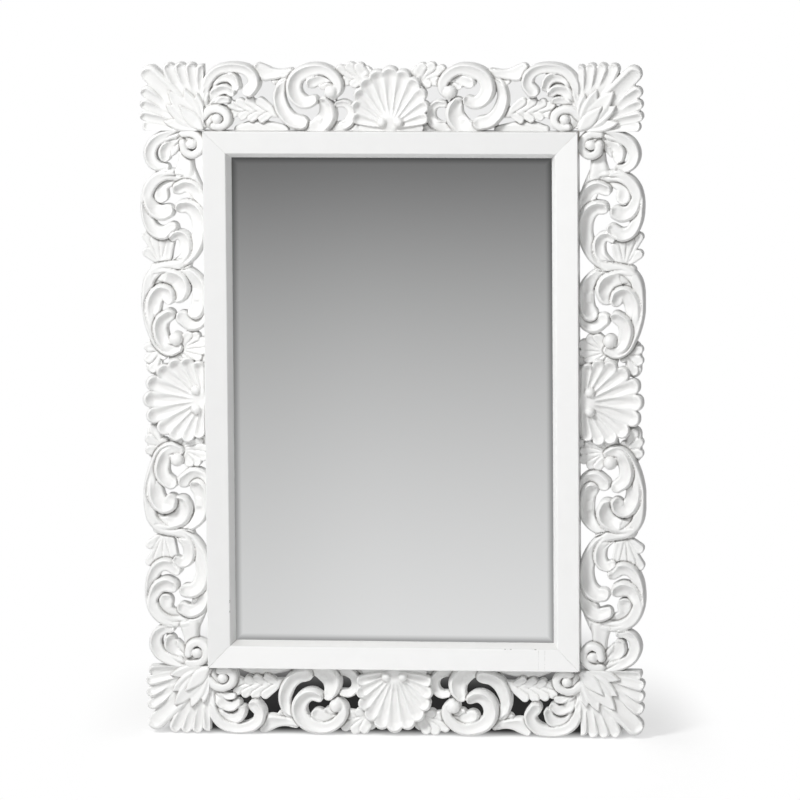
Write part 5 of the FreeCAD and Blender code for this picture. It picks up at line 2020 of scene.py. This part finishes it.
    def floor_material(self) -> bpy.types.Material:
        """White floor that keeps shadows, with painted shade behind the mirror, and a glow painted darker
        into the distance where the glass reflects it.

        Returns:
            The material.
        """
        material = bpy.data.materials.new("floor")
        material.use_nodes = True
        material.node_tree.nodes.clear()
        nodes = Nodes(material.node_tree)
        place = nodes.add("SeparateXYZ", Vector=nodes.add("TexCoord").outputs["Object"])
        depth = place.outputs["Y"]
        view = math.tan(math.radians(self.azimuth))
        aside = nodes.math("ABSOLUTE", nodes.math("MULTIPLY_ADD", depth, view, place.outputs["X"]))
        matte = nodes.add("BsdfDiffuse", Color=grey(self.floor_tone)).outputs["BSDF"]
        seen = self.seen_floor(nodes, depth, aside)
        # Painted light: glossy rays see the floor glow, painted darker with distance, as the glass's
        # reflection.
        fade = nodes.ramp(depth, *self.reflected_depth, smooth=False)
        fade = nodes.math("POWER", fade, self.reflected_curve)
        fade = nodes.ramp(fade, 0.0, 1.0, *self.reflected_level, smooth=False)
        far = nodes.add("Emission", Color=grey(1.0), Strength=fade).outputs["Emission"]
        path = nodes.add("LightPath")
        shader = nodes.join("MixShader", matte, seen, Fac=path.outputs["Is Camera Ray"])
        shader = nodes.join("MixShader", shader, far, Fac=path.outputs["Is Glossy Ray"])
        nodes.put(nodes.add("OutputMaterial").inputs["Surface"], shader)
        return material

    def world(self) -> None:
        """Even soft light from all round, seen as white by the camera and by bright metal."""
        world = bpy.data.worlds.new("studio")
        bpy.context.scene.world = world
        world.use_nodes = True
        world.node_tree.nodes.clear()
        nodes = Nodes(world.node_tree)
        path = nodes.add("LightPath")
        seen = nodes.math("ADD", path.outputs["Is Camera Ray"], path.outputs["Is Glossy Ray"], clamp=True)
        strength = nodes.ramp(seen, 0, 1, self.world_strength, 1.0, smooth=False)
        light = nodes.add("Background", Color=grey(1.0), Strength=strength)
        nodes.put(nodes.add("OutputWorld").inputs["Surface"], light.outputs["Background"])

    def build(self) -> None:
        """Make the floor, the light and the camera."""
        Bench.clear()
        bpy.ops.mesh.primitive_plane_add(size=self.floor_reach)
        floor = bpy.context.active_object
        floor.name = "floor"
        floor.data.transform(Matrix.Translation((0, 0, SIZES.floor_z - self.floor_gap)))
        floor.data.materials.append(self.floor_material())
        self.lamp("key", self.key_place, self.key_size, self.key_power)
        self.lamp("fill", self.fill_place, self.fill_size, self.fill_power)
        self.world()
        self.camera()
        bpy.context.scene.view_settings.view_transform = "Standard"


def main() -> None:
    """Build every part of the mirror and the stage."""
    logging.basicConfig(level=logging.INFO, format="%(name)s: %(message)s")
    CarvedBorder().build()
    Moulding().build()
    Glazing().build()
    Hardware().build()
    Stage().build()


if __name__ == "__main__":
    main()
